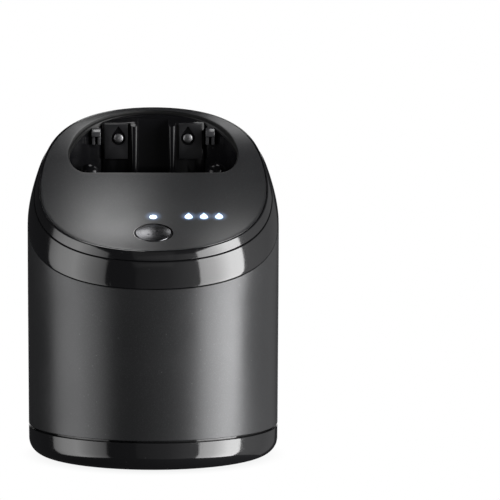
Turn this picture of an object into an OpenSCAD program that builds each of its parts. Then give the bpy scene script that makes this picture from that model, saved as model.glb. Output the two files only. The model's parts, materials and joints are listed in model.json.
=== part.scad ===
// Round cleaning and charging station for an electric shaver.
// Origin: centre of the underside. +Z up, the front faces -Y.

/* [Body shell] */
// Radius of the sleeve at its foot
sleeve_foot_r = 60.2; // [58:0.1:72]
// Outward draft of the sleeve between its foot and its straight upper part
sleeve_draft = 0.2; // [0.1:0.1:2]
// Wall of the sleeve along its straight upper part
sleeve_wall = 2.5; // [1.8:0.1:3.2]
// Height of the glossy base ring
base_ring_h = 14.5; // [12:0.1:24]
// Rounding of the base ring's lower edge
ring_fillet = 8; // [3:0.5:9]
// Height of the dark groove between base ring and sleeve
base_groove = 1.0; // [0.6:0.1:2]
// Vertical height of the glossy collar band
collar_h = 11.5; // [8:0.1:18]
// Vertical height of the sloping bezel band
bezel_h = 3.9; // [2:0.1:5]
// Inward lean of the collar band over its height
collar_lean = 3.0; // [1:0.1:4]
// Inward step from collar band to bezel band
bezel_step = 0.35; // [0.1:0.05:0.8]
// Radial width of the bezel band
bezel_w = 2.2; // [1.5:0.1:4]
// Seam between neighbouring outer shells
seam = 0.3; // [0.1:0.05:0.6]
// Wall of the collar and bezel bands
band_wall = 2.2; // [1.5:0.1:3]

/* [Top sweep] */
// Height of the panel edge at the front above the basin's underside
front_rise = 9.7; // [9:0.1:30]
// Slope of the panel at its front edge, in degrees
front_slope = 15.7; // [10:0.1:18]
// Radius of the hollow front part of the sweep
dish_r = 178.3; // [160:0.1:220]
// Distance behind the centre where hollow turns to crest
inflect_y = 15.5; // [8:0.1:18]
// Radius of the crest at the back
crest_r = 113.5; // [90:0.5:140]
// Thickness of the top panel
panel_t = 2.4; // [1.8:0.1:3.2]

/* [Shaver bay] */
// Width of the panel left behind the round back of the bay
rear_land = 4.95; // [4:0.05:10]
// Distance of the bay's centre behind the body centre
bay_y = 7.0; // [4:0.1:9]
// Distance of the straight front edge behind the bay's centre
bay_chord = 1.4; // [0:0.1:4]
// Corner radius of the bay
bay_corner = 9; // [5:0.5:12]
// Wall of the basin
basin_wall = 2.0; // [1.4:0.1:2.6]
// Thickness of the basin floor
basin_floor_t = 2.0; // [1.4:0.1:3]
// Clearance between the column's top and the basin
basin_gap = 6; // [4:0.5:12]
// Half width of the contact tower
tower_half_w = 25; // [23:0.5:27]
// Distance of the tower's front face in front of the bay's back
tower_depth = 9.1; // [8:0.1:12]
// Half width of the centre recess in the tower
recess_half_w = 7.5; // [5:0.5:8.5]
// Width of each upright rib
rib_w = 3.6; // [2:0.1:4]
// Forward reach of the ribs
rib_reach = 3.2; // [2:0.1:5]
// Radius of a charging contact pin
pin_r = 2.3; // [1.8:0.1:2.6]
// Distance of each contact pin from the middle plane
pin_x = 17.1; // [16:0.1:19.5]
// Height of the contact pins below the tower's top
pin_drop = 7.4; // [6:0.1:9]
// Travel of a contact pin
pin_travel = 1.2; // [0.6:0.1:1.4]
// Radius of the drain in the basin floor
drain_r = 4; // [3:0.1:5]

/* [Button and lights] */
// Distance of the start button in front of the centre
button_y = 35.4; // [32:0.1:38]
// Radius of the start button
button_r = 8.6; // [7:0.1:10]
// Dark ring around the start button
button_ring_w = 0.65; // [0.5:0.05:1]
// Travel of the start button
button_travel = 1.2; // [0.6:0.1:1.2]
// Distance of the lights in front of the centre
light_y = 21.5; // [18:0.1:24]
// Radius of the round status light
status_r = 1.9; // [1.2:0.1:2.4]
// Spacing of the level lights
level_pitch = 7.2; // [6:0.1:9]
// Radius of a level light's round end
level_r = 2.0; // [1.4:0.1:2.4]
// Distance of the first level light from the middle plane
level_x = 16.8; // [15:0.1:18]

/* [Cartridge] */
// Clearance between the cartridge and the base ring
cartridge_gap = 6.6; // [5:0.1:12]
// Height of the cartridge with its cover
cartridge_h = 56.8; // [46:0.1:70]
// Wall of the cartridge
cartridge_wall = 1.6; // [1.2:0.1:2.4]
// Thickness of the cartridge cover
cover_t = 4; // [3:0.1:6]

/* [Lift] */
// Free height above the cartridge when the housing is up
slide_out_gap = 5; // [3:0.5:10]
// Room behind the rear column for the power inlet and the lift button
rear_room = 11.6; // [10:0.1:14]
// Half width of the rear column
column_half_w = 18; // [16:0.5:22]
// Depth of the rear column
column_d = 16; // [14:0.5:19]
// Length of guide rail still on the column when the housing is up
rail_engage = 18; // [12:0.5:19]
// Wall of the rear column
column_wall = 2.5; // [2:0.1:3.5]
// Width of each guide rail
rail_w = 5; // [4:0.5:6]
// Radius of a lift spring's coil centre
spring_r = 3.6; // [3:0.1:4]
// Wire radius of a lift spring
spring_wire_r = 0.6; // [0.4:0.05:0.8]
// Half width of the lift button
lift_button_half_w = 9; // [7:0.5:10]
// Height of the lift button
lift_button_h = 18; // [14:0.5:22]
// Travel of the lift button
lift_button_travel = 2.5; // [1.5:0.1:2.5]

/* [Pump and fan] */
// Radius of the pump housing
pump_r = 13; // [12:0.5:14]
// Height of the pump housing
pump_h = 12; // [11:0.5:14]
// Height of the pump motor
pump_motor_h = 17; // [14:0.5:17]
// Radius of the fan housing
fan_r = 17; // [15:0.5:18]
// Height of the fan housing
fan_h = 14; // [12:0.5:15]
// Number of impeller vanes
impeller_vanes = 6; // [4:1:8]
// Number of fan blades
fan_blades = 12; // [8:1:16]

/* [Fits] */
// Clearance around a sliding piece
slide_gap = 0.3; // [0.2:0.05:0.5]
// Radial clearance of a shaft in its bearing
shaft_gap = 0.05; // [0.02:0.01:0.1]
// Thickness of a rubber foot below the base ring
foot_drop = 0.8; // [0.5:0.1:1.5]

/* [Hidden] */
$fn = 96;

// Shell
sleeve_r = sleeve_foot_r + sleeve_draft;
bore_r = sleeve_r - sleeve_wall;
lip_w = 1;
lip_h = 2.5;
ring_bore_r = bore_r - slide_gap - lip_w;
plate_top_z = 5.2;
base_plate_t = 3.2;
base_plate_r = sleeve_foot_r - 6.5;
sleeve_z = base_ring_h + base_groove;
collar_top_r = sleeve_r - collar_lean;
bezel_foot_r = collar_top_r - bezel_step;
top_edge_r = bezel_foot_r - bezel_w;
band_drop = collar_h + seam + bezel_h;

// Base, cartridge, lift and chassis, stacked from the floor up
column_back_y = ring_bore_r - rear_room;
column_y = column_back_y - column_d;
cartridge_back_y = column_y - 3;
cartridge_r = ring_bore_r - cartridge_gap;
cartridge_top_z = plate_top_z + cartridge_h;
lift_travel = cartridge_top_z - base_ring_h - lip_h + slide_out_gap;
rail_foot_z = 20;
column_h = rail_foot_z + lift_travel + rail_engage - plate_top_z;
chassis_z = cartridge_top_z + 6;
chassis_t = 3;
chassis_top_z = chassis_z + chassis_t;
basin_z = plate_top_z + column_h + basin_gap;
front_edge_z = basin_z + front_rise;

// Sweep: a hollow arc at the front that meets a crest arc at the back
dish_low_y = -top_edge_r - dish_r * sin(front_slope);
dish_centre_z = front_edge_z + dish_r * cos(front_slope);
inflect_slope = asin((inflect_y - dish_low_y) / dish_r);
inflect_z = dish_centre_z - dish_r * cos(inflect_slope);
crest_low_y = inflect_y + crest_r * sin(inflect_slope);
straight_z = sweep_z(-sleeve_r) - band_drop - seam;
panel_r = top_edge_r - 0.6;
tongue_t = 1.5;
tongue_h = 2.5;

// Bay
bay_r = panel_r - bay_y - rear_land;
bay_front_y = bay_y + bay_chord;
bay_back_y = bay_y + bay_r;
bay_floor_z = basin_z + basin_floor_t;
fit_gap = 0.05;
tower_y = bay_back_y - tower_depth;
tower_top_drop = 1;
plate_t = 1.2;
plate_in_x = recess_half_w + rib_w + 1.5;
plate_w = tower_half_w - 1 - plate_in_x;
plate_h = 18;
plate_rise = 7.8;
pin_z = sweep_z(tower_y) - tower_top_drop - pin_drop;
pin_reach = 1.4;
pin_length = bay_y + sqrt(pow(bay_r, 2) - pow(pin_x + pin_r, 2)) - slide_gap / 2
    - pin_travel - (tower_y - plate_t - pin_reach);
pin_bore_r = pin_r + slide_gap / 2;
pin_bore_h = pin_length - plate_t - pin_reach + pin_travel + slide_gap;
drain_y = bay_front_y + drain_r + 1.6;
rest_r = 5;
rest_gap = 2.7;
rest_y = bay_y + 17;
rest_x = sqrt(pow(bay_r, 2) - pow(rest_y - bay_y, 2)) - rest_r - rest_gap;
rest_h = sweep_z(rest_y) - 10 - rest_r - bay_floor_z;
clip_w = 4.4;
clip_x = tower_half_w + 0.8 + clip_w / 2;
clip_prong = 1.6;
clip_y = bay_back_y - 16.3;
clip_drop = 10.64;
clip_z = sweep_z(bay_y + sqrt(pow(bay_r, 2) - pow(clip_x, 2))) - clip_drop;
clip_h = 8;

// Base and cartridge
plate_foot_z = plate_top_z - base_plate_t;
ring_flange_r = base_plate_r - 4.7;
nozzle_rise = 1.6;
cover_skin = 2;
foot_r = 6;
foot_ring_r = ring_flange_r - foot_r - 1;
base_screw_r = 1.5;
base_screw_l = 9;
base_head_h = 1.2;
screw_head_r = 2.8;
cover_z = cartridge_top_z - cover_t;
port_r = 4.2;
pump_x = -27;
pump_y = -16;
seal_w = 1.4;
pump_wall = 2;
outlet_wall = 0.8;
drain_port_r = drain_r + seal_w;
filter_r = 12;
filter_y = cartridge_back_y - cartridge_wall - 2.4 - filter_r;
filter_h = 16;

// Lift
boss_h = 5.2;
boss_r = 4;
screw_r = 1.45;
rail_x = column_half_w + slide_gap + 0.1;
spring_x = rail_x + rail_w + spring_r + 3;
spring_y = sqrt(pow(ring_bore_r - spring_r - 3, 2) - pow(spring_x, 2));
spring_seat_z = plate_top_z + 2.8;
post_r = 2.2;
post_h = 40;
bracket_y = column_back_y + 1;
bracket_t = 1.5;
button_mid_z = chassis_z - lift_button_h / 2 - 3;
cup_r = 5;
cup_bore_r = 3.6;
key_coil_r = 2.6;
key_wire_r = 0.4;
cup_h = 5.5;
hook_y = column_back_y + 1.2;
hook_z = button_mid_z - lift_button_h / 2 - 3;
button_back_r = bore_r - 1.8;
key_flange_w = 2;
hook_w = 6;
hook_t = 2.4;
screw_x = bore_r - 13.4;
screw_front_y = -32;
screw_back_y = 22;

// Start button stack, measured down from the panel
button_hole_r = button_r + slide_gap - 0.05 + button_ring_w;
board_drop = 9;
guide_h = 7.5;
board_t = 1.6;
switch_gap = button_travel + 0.1;
switch_h = 2.6;
switch_w = 6;
button_crown = 0.9;
button_flange_w = 0.6;
board_left_x = 27;
board_right_x = level_x + 2 * level_pitch + level_r + 2.8;
board_front_y = 9;
board_back_y = (button_y - light_y) / cos(sweep_slope(-button_y)) + 4;

// Power socket
socket_half_w = 9;
socket_h = 8;
socket_mouth_half_w = 6.2;
socket_mouth_h = 6.4;
socket_mid_z = plate_top_z + socket_h / 2;
socket_front_y = column_back_y + 0.3;
socket_back_y = ring_bore_r - 1.2;
socket_pin_r = 0.8;
socket_pin_x = 2.6;
socket_pin_l = 6;
socket_back_t = 1.6;

// Hose from the pump to the basin
hose_r = 2.6;
hose_bore_r = 1.4;
hose_x = pump_x + pump_r + 5;
hose_z = basin_z + 8;
outlet_z = chassis_top_z + pump_h / 2;

// Main board, beside the hose
main_board_x = hose_x + 8;
main_board_y = 7.9 - bore_r;
main_board_w = 46;
main_board_h = 20;
motor_driver_w = 9;
motor_driver_t = 2.4;
board_plug_w = 12;
board_plug_h = 6;
board_plug_t = 3;

// Fan
fan_x = bore_r - fan_r - 11.9;
fan_y = -14;
fan_eye_r = 4;
fan_hub_r = 5;
blade_w = 4;
blade_t = 1;
shaft_r = 1.5;
duct_w = 12;
duct_wall = 1.5;
duct_back_y = fan_y + 2;
duct_foot = 9;
duct_mouth_z = bay_floor_z + 1;
duct_mouth_h = 7;

function sweep_z(y) = y <= inflect_y
    ? dish_centre_z - sqrt(pow(dish_r, 2) - pow(y - dish_low_y, 2))
    : inflect_z - crest_r * cos(inflect_slope)
        + sqrt(pow(crest_r, 2) - pow(crest_low_y - y, 2));

function sweep_slope(y) = y <= inflect_y
    ? asin((y - dish_low_y) / dish_r)
    : asin((crest_low_y - y) / crest_r);

function arc(x, y, r, from, to, steps) =
    [for (i = [0 : steps]) let (a = from + (to - from) * i / steps) [x + r * cos(a), y + r * sin(a)]];

// A child drawn in the Y-Z plane, carried along X
module along_x(width) {
    rotate([90, 0, 90]) linear_extrude(width, center = true) children();
}

// Everything above the sweep, lowered by drop
module above_sweep(drop) {
    reach = sleeve_r + 4;
    step = reach / 26;
    along_x(2 * reach)
        polygon(concat([for (i = [-26 : 26]) [i * step, sweep_z(i * step) - drop]],
            [[reach, 300], [-reach, 300]]));
}

// The slab between two copies of the sweep
module sweep_slab(top_drop, thickness) {
    difference() {
        above_sweep(top_drop + thickness);
        above_sweep(top_drop);
    }
}

// Outline of the shaver bay: round back, straight front, rounded corners
module bay_outline(grow) {
    r = bay_r + grow;
    c = bay_corner + grow;
    corner_y = bay_front_y + bay_corner;
    corner_x = sqrt(pow(bay_r - bay_corner, 2) - pow(corner_y - bay_y, 2));
    turn = atan2(corner_y - bay_y, corner_x);
    polygon(concat(
        arc(0, bay_y, r, turn, 180 - turn, 36),
        arc(-corner_x, corner_y, c, 180 - turn, 270, 8),
        arc(corner_x, corner_y, c, 270, 360 + turn, 8)));
}

// A child placed on the panel with its Z axis square to the surface
module on_panel(x, y) {
    translate([x, y, sweep_z(y)]) rotate([sweep_slope(y), 0, 0]) children();
}

// Closed shell around the body that follows the sweep. Each profile point is
// [radius, drop below the sweep], listed round the section.
module sweep_ring(profile, steps = 72) {
    n = len(profile);
    points = [for (i = [0 : steps - 1]) for (p = profile)
        let (a = 360 * i / steps, y = p[0] * sin(a))
            [p[0] * cos(a), y, sweep_z(y) - p[1]]];
    faces = [for (i = [0 : steps - 1]) for (j = [0 : n - 1])
        let (a = i * n + j, b = i * n + (j + 1) % n,
            c = ((i + 1) % steps) * n + (j + 1) % n, d = ((i + 1) % steps) * n + j)
            each [[a, b, c], [a, c, d]]];
    polyhedron(points, faces, convexity = 6);
}

// Helical wire between two heights
module coil(radius, wire, low, high, turns) {
    sides = 6;
    per_turn = 12;
    rings = turns * per_turn;
    rise = (high - low - 2 * wire) / rings;
    points = [for (i = [0 : rings]) for (j = [0 : sides - 1])
        let (a = 360 * i / per_turn, b = 360 * j / sides, r = radius + wire * cos(b))
            [r * cos(a), r * sin(a), low + wire + i * rise + wire * sin(b)]];
    walls = [for (i = [0 : rings - 1]) for (j = [0 : sides - 1])
        let (a = i * sides + j, b = i * sides + (j + 1) % sides)
            each [[a, b + sides, a + sides], [a, b, b + sides]]];
    polyhedron(points, concat(walls,
        [[for (j = [sides - 1 : -1 : 0]) j], [for (j = [0 : sides - 1]) rings * sides + j]]),
        convexity = 10);
}

module tube(outer, inner, h) {
    difference() {
        cylinder(r = outer, h = h);
        translate([0, 0, -1]) cylinder(r = inner, h = h + 2);
    }
}

module both_sides() {
    children();
    mirror([1, 0, 0]) children();
}

// ---- Base ----

module base_ring() {
    color("#141416") difference() {
        rotate_extrude() polygon(concat(
            [[ring_flange_r, foot_drop]],
            arc(sleeve_foot_r - ring_fillet, foot_drop + ring_fillet, ring_fillet, -90, 0, 8),
            [[sleeve_foot_r, base_ring_h], [ring_bore_r + lip_w, base_ring_h],
            [ring_bore_r + lip_w, base_ring_h + lip_h], [ring_bore_r, base_ring_h + lip_h],
            [ring_bore_r, plate_top_z], [base_plate_r, plate_top_z],
            [base_plate_r, plate_foot_z], [ring_flange_r, plate_foot_z]]));
        translate([-socket_mouth_half_w, 0, socket_mid_z - socket_mouth_h / 2])
            cube([2 * socket_mouth_half_w, sleeve_r + 5, socket_mouth_h]);
    }
}

module base_plate() {
    color("#1c1c1e") difference() {
        translate([0, 0, plate_foot_z]) cylinder(r = base_plate_r, h = base_plate_t);
        base_screw_places() cylinder(r = base_screw_r + 0.1, h = 10);
    }
    color("#1c1c1e") both_sides() translate([spring_x, spring_y, plate_top_z])
        cylinder(r = post_r, h = post_h);
    color("#1c1c1e") both_sides() translate([spring_x, spring_y, plate_top_z])
        tube(spring_r + 2, post_r, spring_seat_z - plate_top_z);
}

module base_screw_places() {
    both_sides() for (y = [column_y + 4, column_back_y - 4]) translate([column_half_w - 5, y, 0]) children();
}

module rubber_feet() {
    color("#0c0c0c") for (a = [45 : 90 : 315])
        rotate(a) translate([foot_ring_r, 0, 0]) cylinder(r = foot_r, h = plate_foot_z);
}

module base_screws() {
    color("#8d9094") base_screw_places() {
        translate([0, 0, plate_foot_z - base_head_h]) cylinder(r = screw_head_r, h = base_head_h);
        translate([0, 0, plate_foot_z]) cylinder(r = base_screw_r, h = base_screw_l);
    }
}

module rear_column() {
    inner_w = 2 * (column_half_w - column_wall);
    color("#202124") difference() {
        translate([-column_half_w, column_y, plate_top_z]) cube([2 * column_half_w, column_d, column_h]);
        translate([-inner_w / 2, column_y + column_wall, plate_top_z + 10])
            cube([inner_w, column_d - 2 * column_wall, column_h - 10 - column_wall]);
        translate([-hook_w / 2 - 1, column_back_y - column_wall - 1, hook_z - 6])
            cube([hook_w + 2, column_wall + 2, column_h]);
        base_screw_places() cylinder(r = base_screw_r, h = plate_top_z + 7);
    }
}

module power_socket() {
    color("#0b0b0c") difference() {
        translate([-socket_half_w, socket_front_y, plate_top_z])
            cube([2 * socket_half_w, socket_back_y - socket_front_y, socket_h]);
        translate([-socket_mouth_half_w, socket_front_y + socket_back_t, socket_mid_z - socket_mouth_h / 2])
            cube([2 * socket_mouth_half_w, 20, socket_mouth_h]);
        both_sides() translate([socket_pin_x, socket_front_y - 1, socket_mid_z])
            rotate([-90, 0, 0]) cylinder(r = socket_pin_r, h = 4);
    }
}

module power_socket_pins() {
    color("#c9a24a") both_sides() translate([socket_pin_x, socket_front_y + 0.2, socket_mid_z])
        rotate([-90, 0, 0]) cylinder(r = socket_pin_r, h = socket_pin_l);
}

module lift_spring() {
    color("#9a9da1") coil(spring_r, spring_wire_r, spring_seat_z, chassis_z, 9);
}

module lift_spring_left() {
    translate([-spring_x, spring_y, 0]) lift_spring();
}

module lift_spring_right() {
    translate([spring_x, spring_y, 0]) lift_spring();
}

// ---- Cartridge ----

module cartridge_outline(inset) {
    intersection() {
        circle(r = cartridge_r - inset);
        translate([-cartridge_r, -cartridge_r])
            square([2 * cartridge_r, cartridge_r + cartridge_back_y - inset]);
    }
}

module cartridge_tub() {
    color("#2b5fa8") difference() {
        translate([0, 0, plate_top_z]) linear_extrude(cover_z - plate_top_z) cartridge_outline(0);
        translate([0, 0, plate_top_z + cartridge_wall])
            linear_extrude(cartridge_h) cartridge_outline(cartridge_wall);
    }
}

module cartridge_cover() {
    color("#dfe3e6") difference() {
        union() {
            translate([0, 0, cover_z]) linear_extrude(cover_t) cartridge_outline(0);
            translate([0, 0, cover_z - 2])
                linear_extrude(2) cartridge_outline(cartridge_wall + slide_gap);
        }
        translate([0, 0, cover_z - 3]) linear_extrude(cover_t + 3 - cover_skin)
            cartridge_outline(cartridge_wall + 2);
        translate([pump_x, pump_y, cover_z - 3]) cylinder(r = port_r, h = 10);
        translate([0, drain_y, cover_z - 3]) cylinder(r = drain_port_r, h = 10);
    }
}

module cartridge_filter() {
    color("#e9e6dc") translate([0, filter_y, cartridge_top_z - cover_skin - filter_h]) difference() {
        cylinder(r = filter_r, h = filter_h);
        translate([0, 0, 1.5]) cylinder(r = filter_r - 1.5, h = filter_h);
    }
}

module pickup_tube() {
    color("#cfd4d8") translate([pump_x, pump_y, plate_top_z + cartridge_wall + 2])
        tube(port_r + 1, port_r, cartridge_h - cover_skin - cartridge_wall - 2);
}

// ---- Housing shells ----

module main_sleeve() {
    color("#4a4c50") sleeve_bosses();
    color("#4a4c50") difference() {
        union() {
            translate([0, 0, sleeve_z])
                cylinder(r1 = sleeve_foot_r, r2 = sleeve_r, h = straight_z - sleeve_z);
            translate([0, 0, straight_z]) cylinder(r = sleeve_r, h = 200);
        }
        translate([0, 0, -1]) cylinder(r = bore_r, h = 300);
        above_sweep(band_drop + seam);
        translate([-lift_button_half_w - slide_gap, 0, button_mid_z - lift_button_h / 2 - slide_gap])
            cube([2 * (lift_button_half_w + slide_gap), 100, lift_button_h + 2 * slide_gap]);
    }
}

// Bosses under the chassis plate, grown from the sleeve's wall
module sleeve_bosses() {
    difference() {
        intersection() {
            chassis_screw_places() boss();
            cylinder(r = bore_r + 0.5, h = 200);
        }
        chassis_screw_places() cylinder(r = screw_r, h = 200);
    }
}

module boss() {
    translate([0, 0, chassis_z - boss_h]) cylinder(r = boss_r, h = boss_h);
    translate([0, -boss_r, chassis_z - boss_h]) cube([bore_r, 2 * boss_r, boss_h]);
}

// Leaning band with a tongue that drops inside the sleeve
module collar_band() {
    steps = 6;
    top = bezel_h + seam;
    tongue_r = bore_r - 0.1;
    color("#161618") sweep_ring(concat(
        [for (i = [0 : steps]) let (t = i / steps)
            [sleeve_r - collar_lean * pow(t, 1.5), band_drop - collar_h * t]],
        [[collar_top_r - band_wall, top],
        [sleeve_r - collar_lean / 2 - band_wall, top + collar_h / 2],
        [tongue_r - tongue_t, band_drop + tongue_h],
        [tongue_r, band_drop + tongue_h],
        [tongue_r, band_drop]]));
}

// Sloping band with a ledge that carries the panel
module bezel_band() {
    inner_r = top_edge_r - 0.4;
    ledge_r = inner_r - 1.4;
    tongue_r = collar_top_r - band_wall - 0.2;
    color("#1b1b1d") sweep_ring([
        [bezel_foot_r, bezel_h], [top_edge_r + 0.5, 0.35], [top_edge_r, 0], [inner_r + 0.05, 0.15],
        [inner_r, panel_t + 0.05], [ledge_r, panel_t + 0.05], [ledge_r, bezel_h + 0.8],
        [tongue_r, bezel_h + 0.8], [tongue_r, bezel_h]]);
}

module top_panel() {
    color("#56585c") difference() {
        intersection() {
            sweep_slab(0, panel_t);
            translate([0, 0, 50]) cylinder(r = panel_r, h = 200);
        }
        linear_extrude(300) bay_outline(0);
        on_panel(0, -button_y) translate([0, 0, -10]) cylinder(r = button_hole_r, h = 20);
        on_panel(0, -light_y) translate([0, 0, -10]) cylinder(r = status_r, h = 20);
        for (i = [0 : 2]) on_panel(level_x + i * level_pitch, -light_y)
            translate([0, 0, -10]) linear_extrude(20) droplet(level_r);
    }
}

// Drop outline: round foot with a point at the top, tip radii above the middle
module droplet(r, tip = 2) {
    half = acos(1 / tip);
    polygon(concat([[0, tip * r]], arc(0, 0, r, 90 + half, 450 - half, 20)));
}

// ---- Shaver bay ----

module cradle_basin() {
    color("#0d0d0e") difference() {
        translate([0, 0, basin_z]) linear_extrude(100) bay_outline(basin_wall);
        translate([0, 0, bay_floor_z]) linear_extrude(200) bay_outline(0);
        above_sweep(panel_t);
        translate([0, drain_y, 0]) cylinder(r = drain_r, h = 200);
        translate([fan_x - duct_w / 2 + duct_wall, bay_front_y - basin_wall - 1, duct_mouth_z])
            cube([duct_w - 2 * duct_wall, basin_wall + 2, duct_mouth_h]);
        translate([hose_x, bay_front_y - basin_wall - 1, hose_z]) rotate([-90, 0, 0])
            cylinder(r = hose_bore_r, h = basin_wall + 2);
    }
}

module contact_tower() {
    color("#101011") difference() {
        intersection() {
            translate([0, 0, bay_floor_z]) linear_extrude(100) bay_outline(-fit_gap);
            union() {
                translate([-tower_half_w, tower_y, 0]) cube([2 * tower_half_w, 30, 200]);
                both_sides() translate([recess_half_w, tower_y - rib_reach, 0]) upright_rib();
            }
        }
        above_sweep(tower_top_drop);
        translate([-recess_half_w, 0, 0]) cube([2 * recess_half_w, tower_y + 4, 200]);
        both_sides() translate([pin_x, tower_y - 10, pin_z])
            rotate([-90, 0, 0]) cylinder(r = pin_bore_r, h = 10 + pin_bore_h);
    }
}

// Rib with a round front edge
module upright_rib() {
    translate([rib_w / 2, rib_w / 2, 0]) cylinder(r = rib_w / 2, h = 200);
    translate([0, rib_w / 2, 0]) cube([rib_w, 30, 200]);
}

module contact_plates() {
    color("#2f3033") both_sides() difference() {
        translate([plate_in_x, tower_y - plate_t, pin_z + plate_rise - plate_h])
            cube([plate_w, plate_t, plate_h]);
        above_sweep(tower_top_drop);
        translate([pin_x, tower_y + 1, pin_z]) rotate([90, 0, 0])
            linear_extrude(4) droplet(pin_r + 1.2, 1.7);
    }
}

module cradle_clips() {
    color("#3a3b3d") difference() {
        intersection() {
            translate([0, 0, bay_floor_z]) linear_extrude(100) bay_outline(-fit_gap);
            both_sides() translate([clip_x - clip_w / 2, clip_y, clip_z]) {
                translate([0, 0, clip_h / 2]) cube([clip_w, 14, clip_h / 2]);
                for (x = [0, clip_w - clip_prong]) translate([x, 1, 0]) cube([clip_prong, 12, clip_h / 2]);
            }
        }
        above_sweep(1.2);
    }
}

module cradle_rests() {
    color("#17171a") both_sides() translate([rest_x, rest_y, bay_floor_z]) {
        cylinder(r = rest_r, h = rest_h);
        translate([0, 0, rest_h]) sphere(r = rest_r);
    }
}

// ---- Controls ----

module start_button_ring() {
    color("#050506") on_panel(0, -button_y) translate([0, 0, -panel_t])
        tube(button_hole_r - fit_gap, button_hole_r - button_ring_w, panel_t + 0.1);
}

module start_button() {
    dome_r = (pow(button_r, 2) + pow(button_crown, 2)) / (2 * button_crown);
    color("#8c8e92") on_panel(0, -button_y) {
        intersection() {
            translate([0, 0, -2.9]) cylinder(r = button_r, h = 10);
            translate([0, 0, 0.2 + button_crown - dome_r]) sphere(r = dome_r, $fn = 180);
        }
        translate([0, 0, -3.6]) cylinder(r = button_hole_r + button_flange_w, h = 0.7);
        translate([0, 0, switch_h + switch_gap + board_t / 2 - board_drop])
            cylinder(r = 1.8, h = board_drop - board_t / 2 - switch_h - switch_gap - 3.6);
    }
}

module status_light() {
    color("#f4f8ff") on_panel(0, -light_y) translate([0, 0, -guide_h])
        cylinder(r = status_r - fit_gap, h = guide_h + 0.05);
}

module level_lights() {
    color("#f4f8ff") for (i = [0 : 2]) on_panel(level_x + i * level_pitch, -light_y)
        translate([0, 0, -guide_h]) linear_extrude(guide_h + 0.05) droplet(level_r - fit_gap);
}

module indicator_board() {
    on_panel(0, -button_y) {
        color("#1f4a33") translate([-board_left_x, -board_front_y, -board_drop - board_t / 2])
            cube([board_left_x + board_right_x, board_front_y + board_back_y, board_t]);
        color("#101010") translate([-switch_w / 2, -switch_w / 2, board_t / 2 - board_drop])
            cube([switch_w, switch_w, switch_h]);
    }
}

// ---- Housing frame ----

module chassis_plate() {
    color("#2a2b2e") difference() {
        translate([0, 0, chassis_z]) cylinder(r = bore_r, h = chassis_t);
        translate([-column_half_w - 0.6, column_y - 0.6, 0]) cube([2 * column_half_w + 1.2, column_d + 1, 200]);
        translate([pump_x, pump_y, 0]) cylinder(r = port_r + 1.6, h = 200);
        translate([0, drain_y, 0]) cylinder(r = drain_port_r + 0.6, h = 200);
        chassis_screw_places() cylinder(r = screw_r, h = 200);
    }
}

module chassis_screw_places() {
    both_sides() for (y = [screw_front_y, screw_back_y]) translate([screw_x, y, 0]) children();
}

module chassis_screws() {
    color("#8d9094") chassis_screw_places() {
        translate([0, 0, chassis_z - boss_h]) cylinder(r = screw_r, h = boss_h + chassis_t);
        translate([0, 0, chassis_top_z]) cylinder(r = screw_head_r, h = 1.8);
    }
}

module guide_rails() {
    color("#34363a") both_sides() translate([rail_x, column_y + 4, rail_foot_z])
        cube([rail_w, bracket_y - column_y - 4, chassis_z - rail_foot_z]);
}

module latch_bracket() {
    color("#6d7074") {
        translate([-rail_x - rail_w, bracket_y, button_mid_z - 8])
            cube([2 * (rail_x + rail_w), bracket_t, 16]);
        translate([0, bracket_y + bracket_t, button_mid_z]) rotate([-90, 0, 0])
            tube(cup_r, cup_bore_r, cup_h);
    }
}

// ---- Rear lift button ----

module lift_button_curve(inner, outer, half_w, low, high) {
    intersection() {
        translate([0, 0, low]) tube(outer, inner, high - low);
        translate([-half_w, 0, low]) cube([2 * half_w, 100, high - low]);
    }
}

module lift_button() {
    low = button_mid_z - lift_button_h / 2;
    high = button_mid_z + lift_button_h / 2;
    color("#2c2d30") {
        lift_button_curve(button_back_r, sleeve_r - 0.1, lift_button_half_w, low, high);
        lift_button_curve(button_back_r, bore_r - slide_gap, lift_button_half_w + key_flange_w,
            hook_z, high + key_flange_w);
    }
}

module lift_button_spring() {
    start_y = bracket_y + bracket_t + lift_button_travel + 0.2;
    color("#9a9da1") translate([0, start_y, button_mid_z]) rotate([-90, 0, 0])
        coil(key_coil_r, key_wire_r, 0, button_back_r - start_y - 0.2, 4);
}

module latch_hook() {
    color("#77797d") {
        translate([-hook_w / 2, hook_y, hook_z - hook_t]) cube([hook_w, button_back_r + 1 - hook_y, hook_t]);
        translate([-hook_w / 2, hook_y, hook_z]) cube([hook_w, 1.6, 1.2]);
    }
}

// ---- Fluid parts ----

module pump_housing() {
    color("#3c3e42") translate([pump_x, pump_y, 0]) {
        difference() {
            union() {
                translate([0, 0, chassis_top_z]) cylinder(r = pump_r, h = pump_h);
                translate([0, 0, cartridge_top_z + nozzle_rise])
                    cylinder(r = port_r, h = chassis_top_z - cartridge_top_z);
            }
            translate([0, 0, chassis_top_z + pump_wall])
                cylinder(r = pump_r - pump_wall, h = pump_h - 2 * pump_wall);
            cylinder(r = port_r - seal_w, h = chassis_top_z + 3);
            translate([0, 0, chassis_top_z + 3]) cylinder(r = shaft_r + shaft_gap, h = pump_h);
            translate([0, 0, outlet_z]) rotate([0, 90, 0]) cylinder(r = hose_bore_r, h = pump_r + 1);
        }
        difference() {
            translate([pump_r - 0.5, 0, outlet_z]) rotate([0, 90, 0])
                cylinder(r = hose_bore_r + outlet_wall, h = hose_x - pump_x - hose_r - pump_r + 0.5);
            translate([0, 0, outlet_z]) rotate([0, 90, 0]) cylinder(r = hose_bore_r, h = 3 * pump_r);
        }
    }
}

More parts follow.
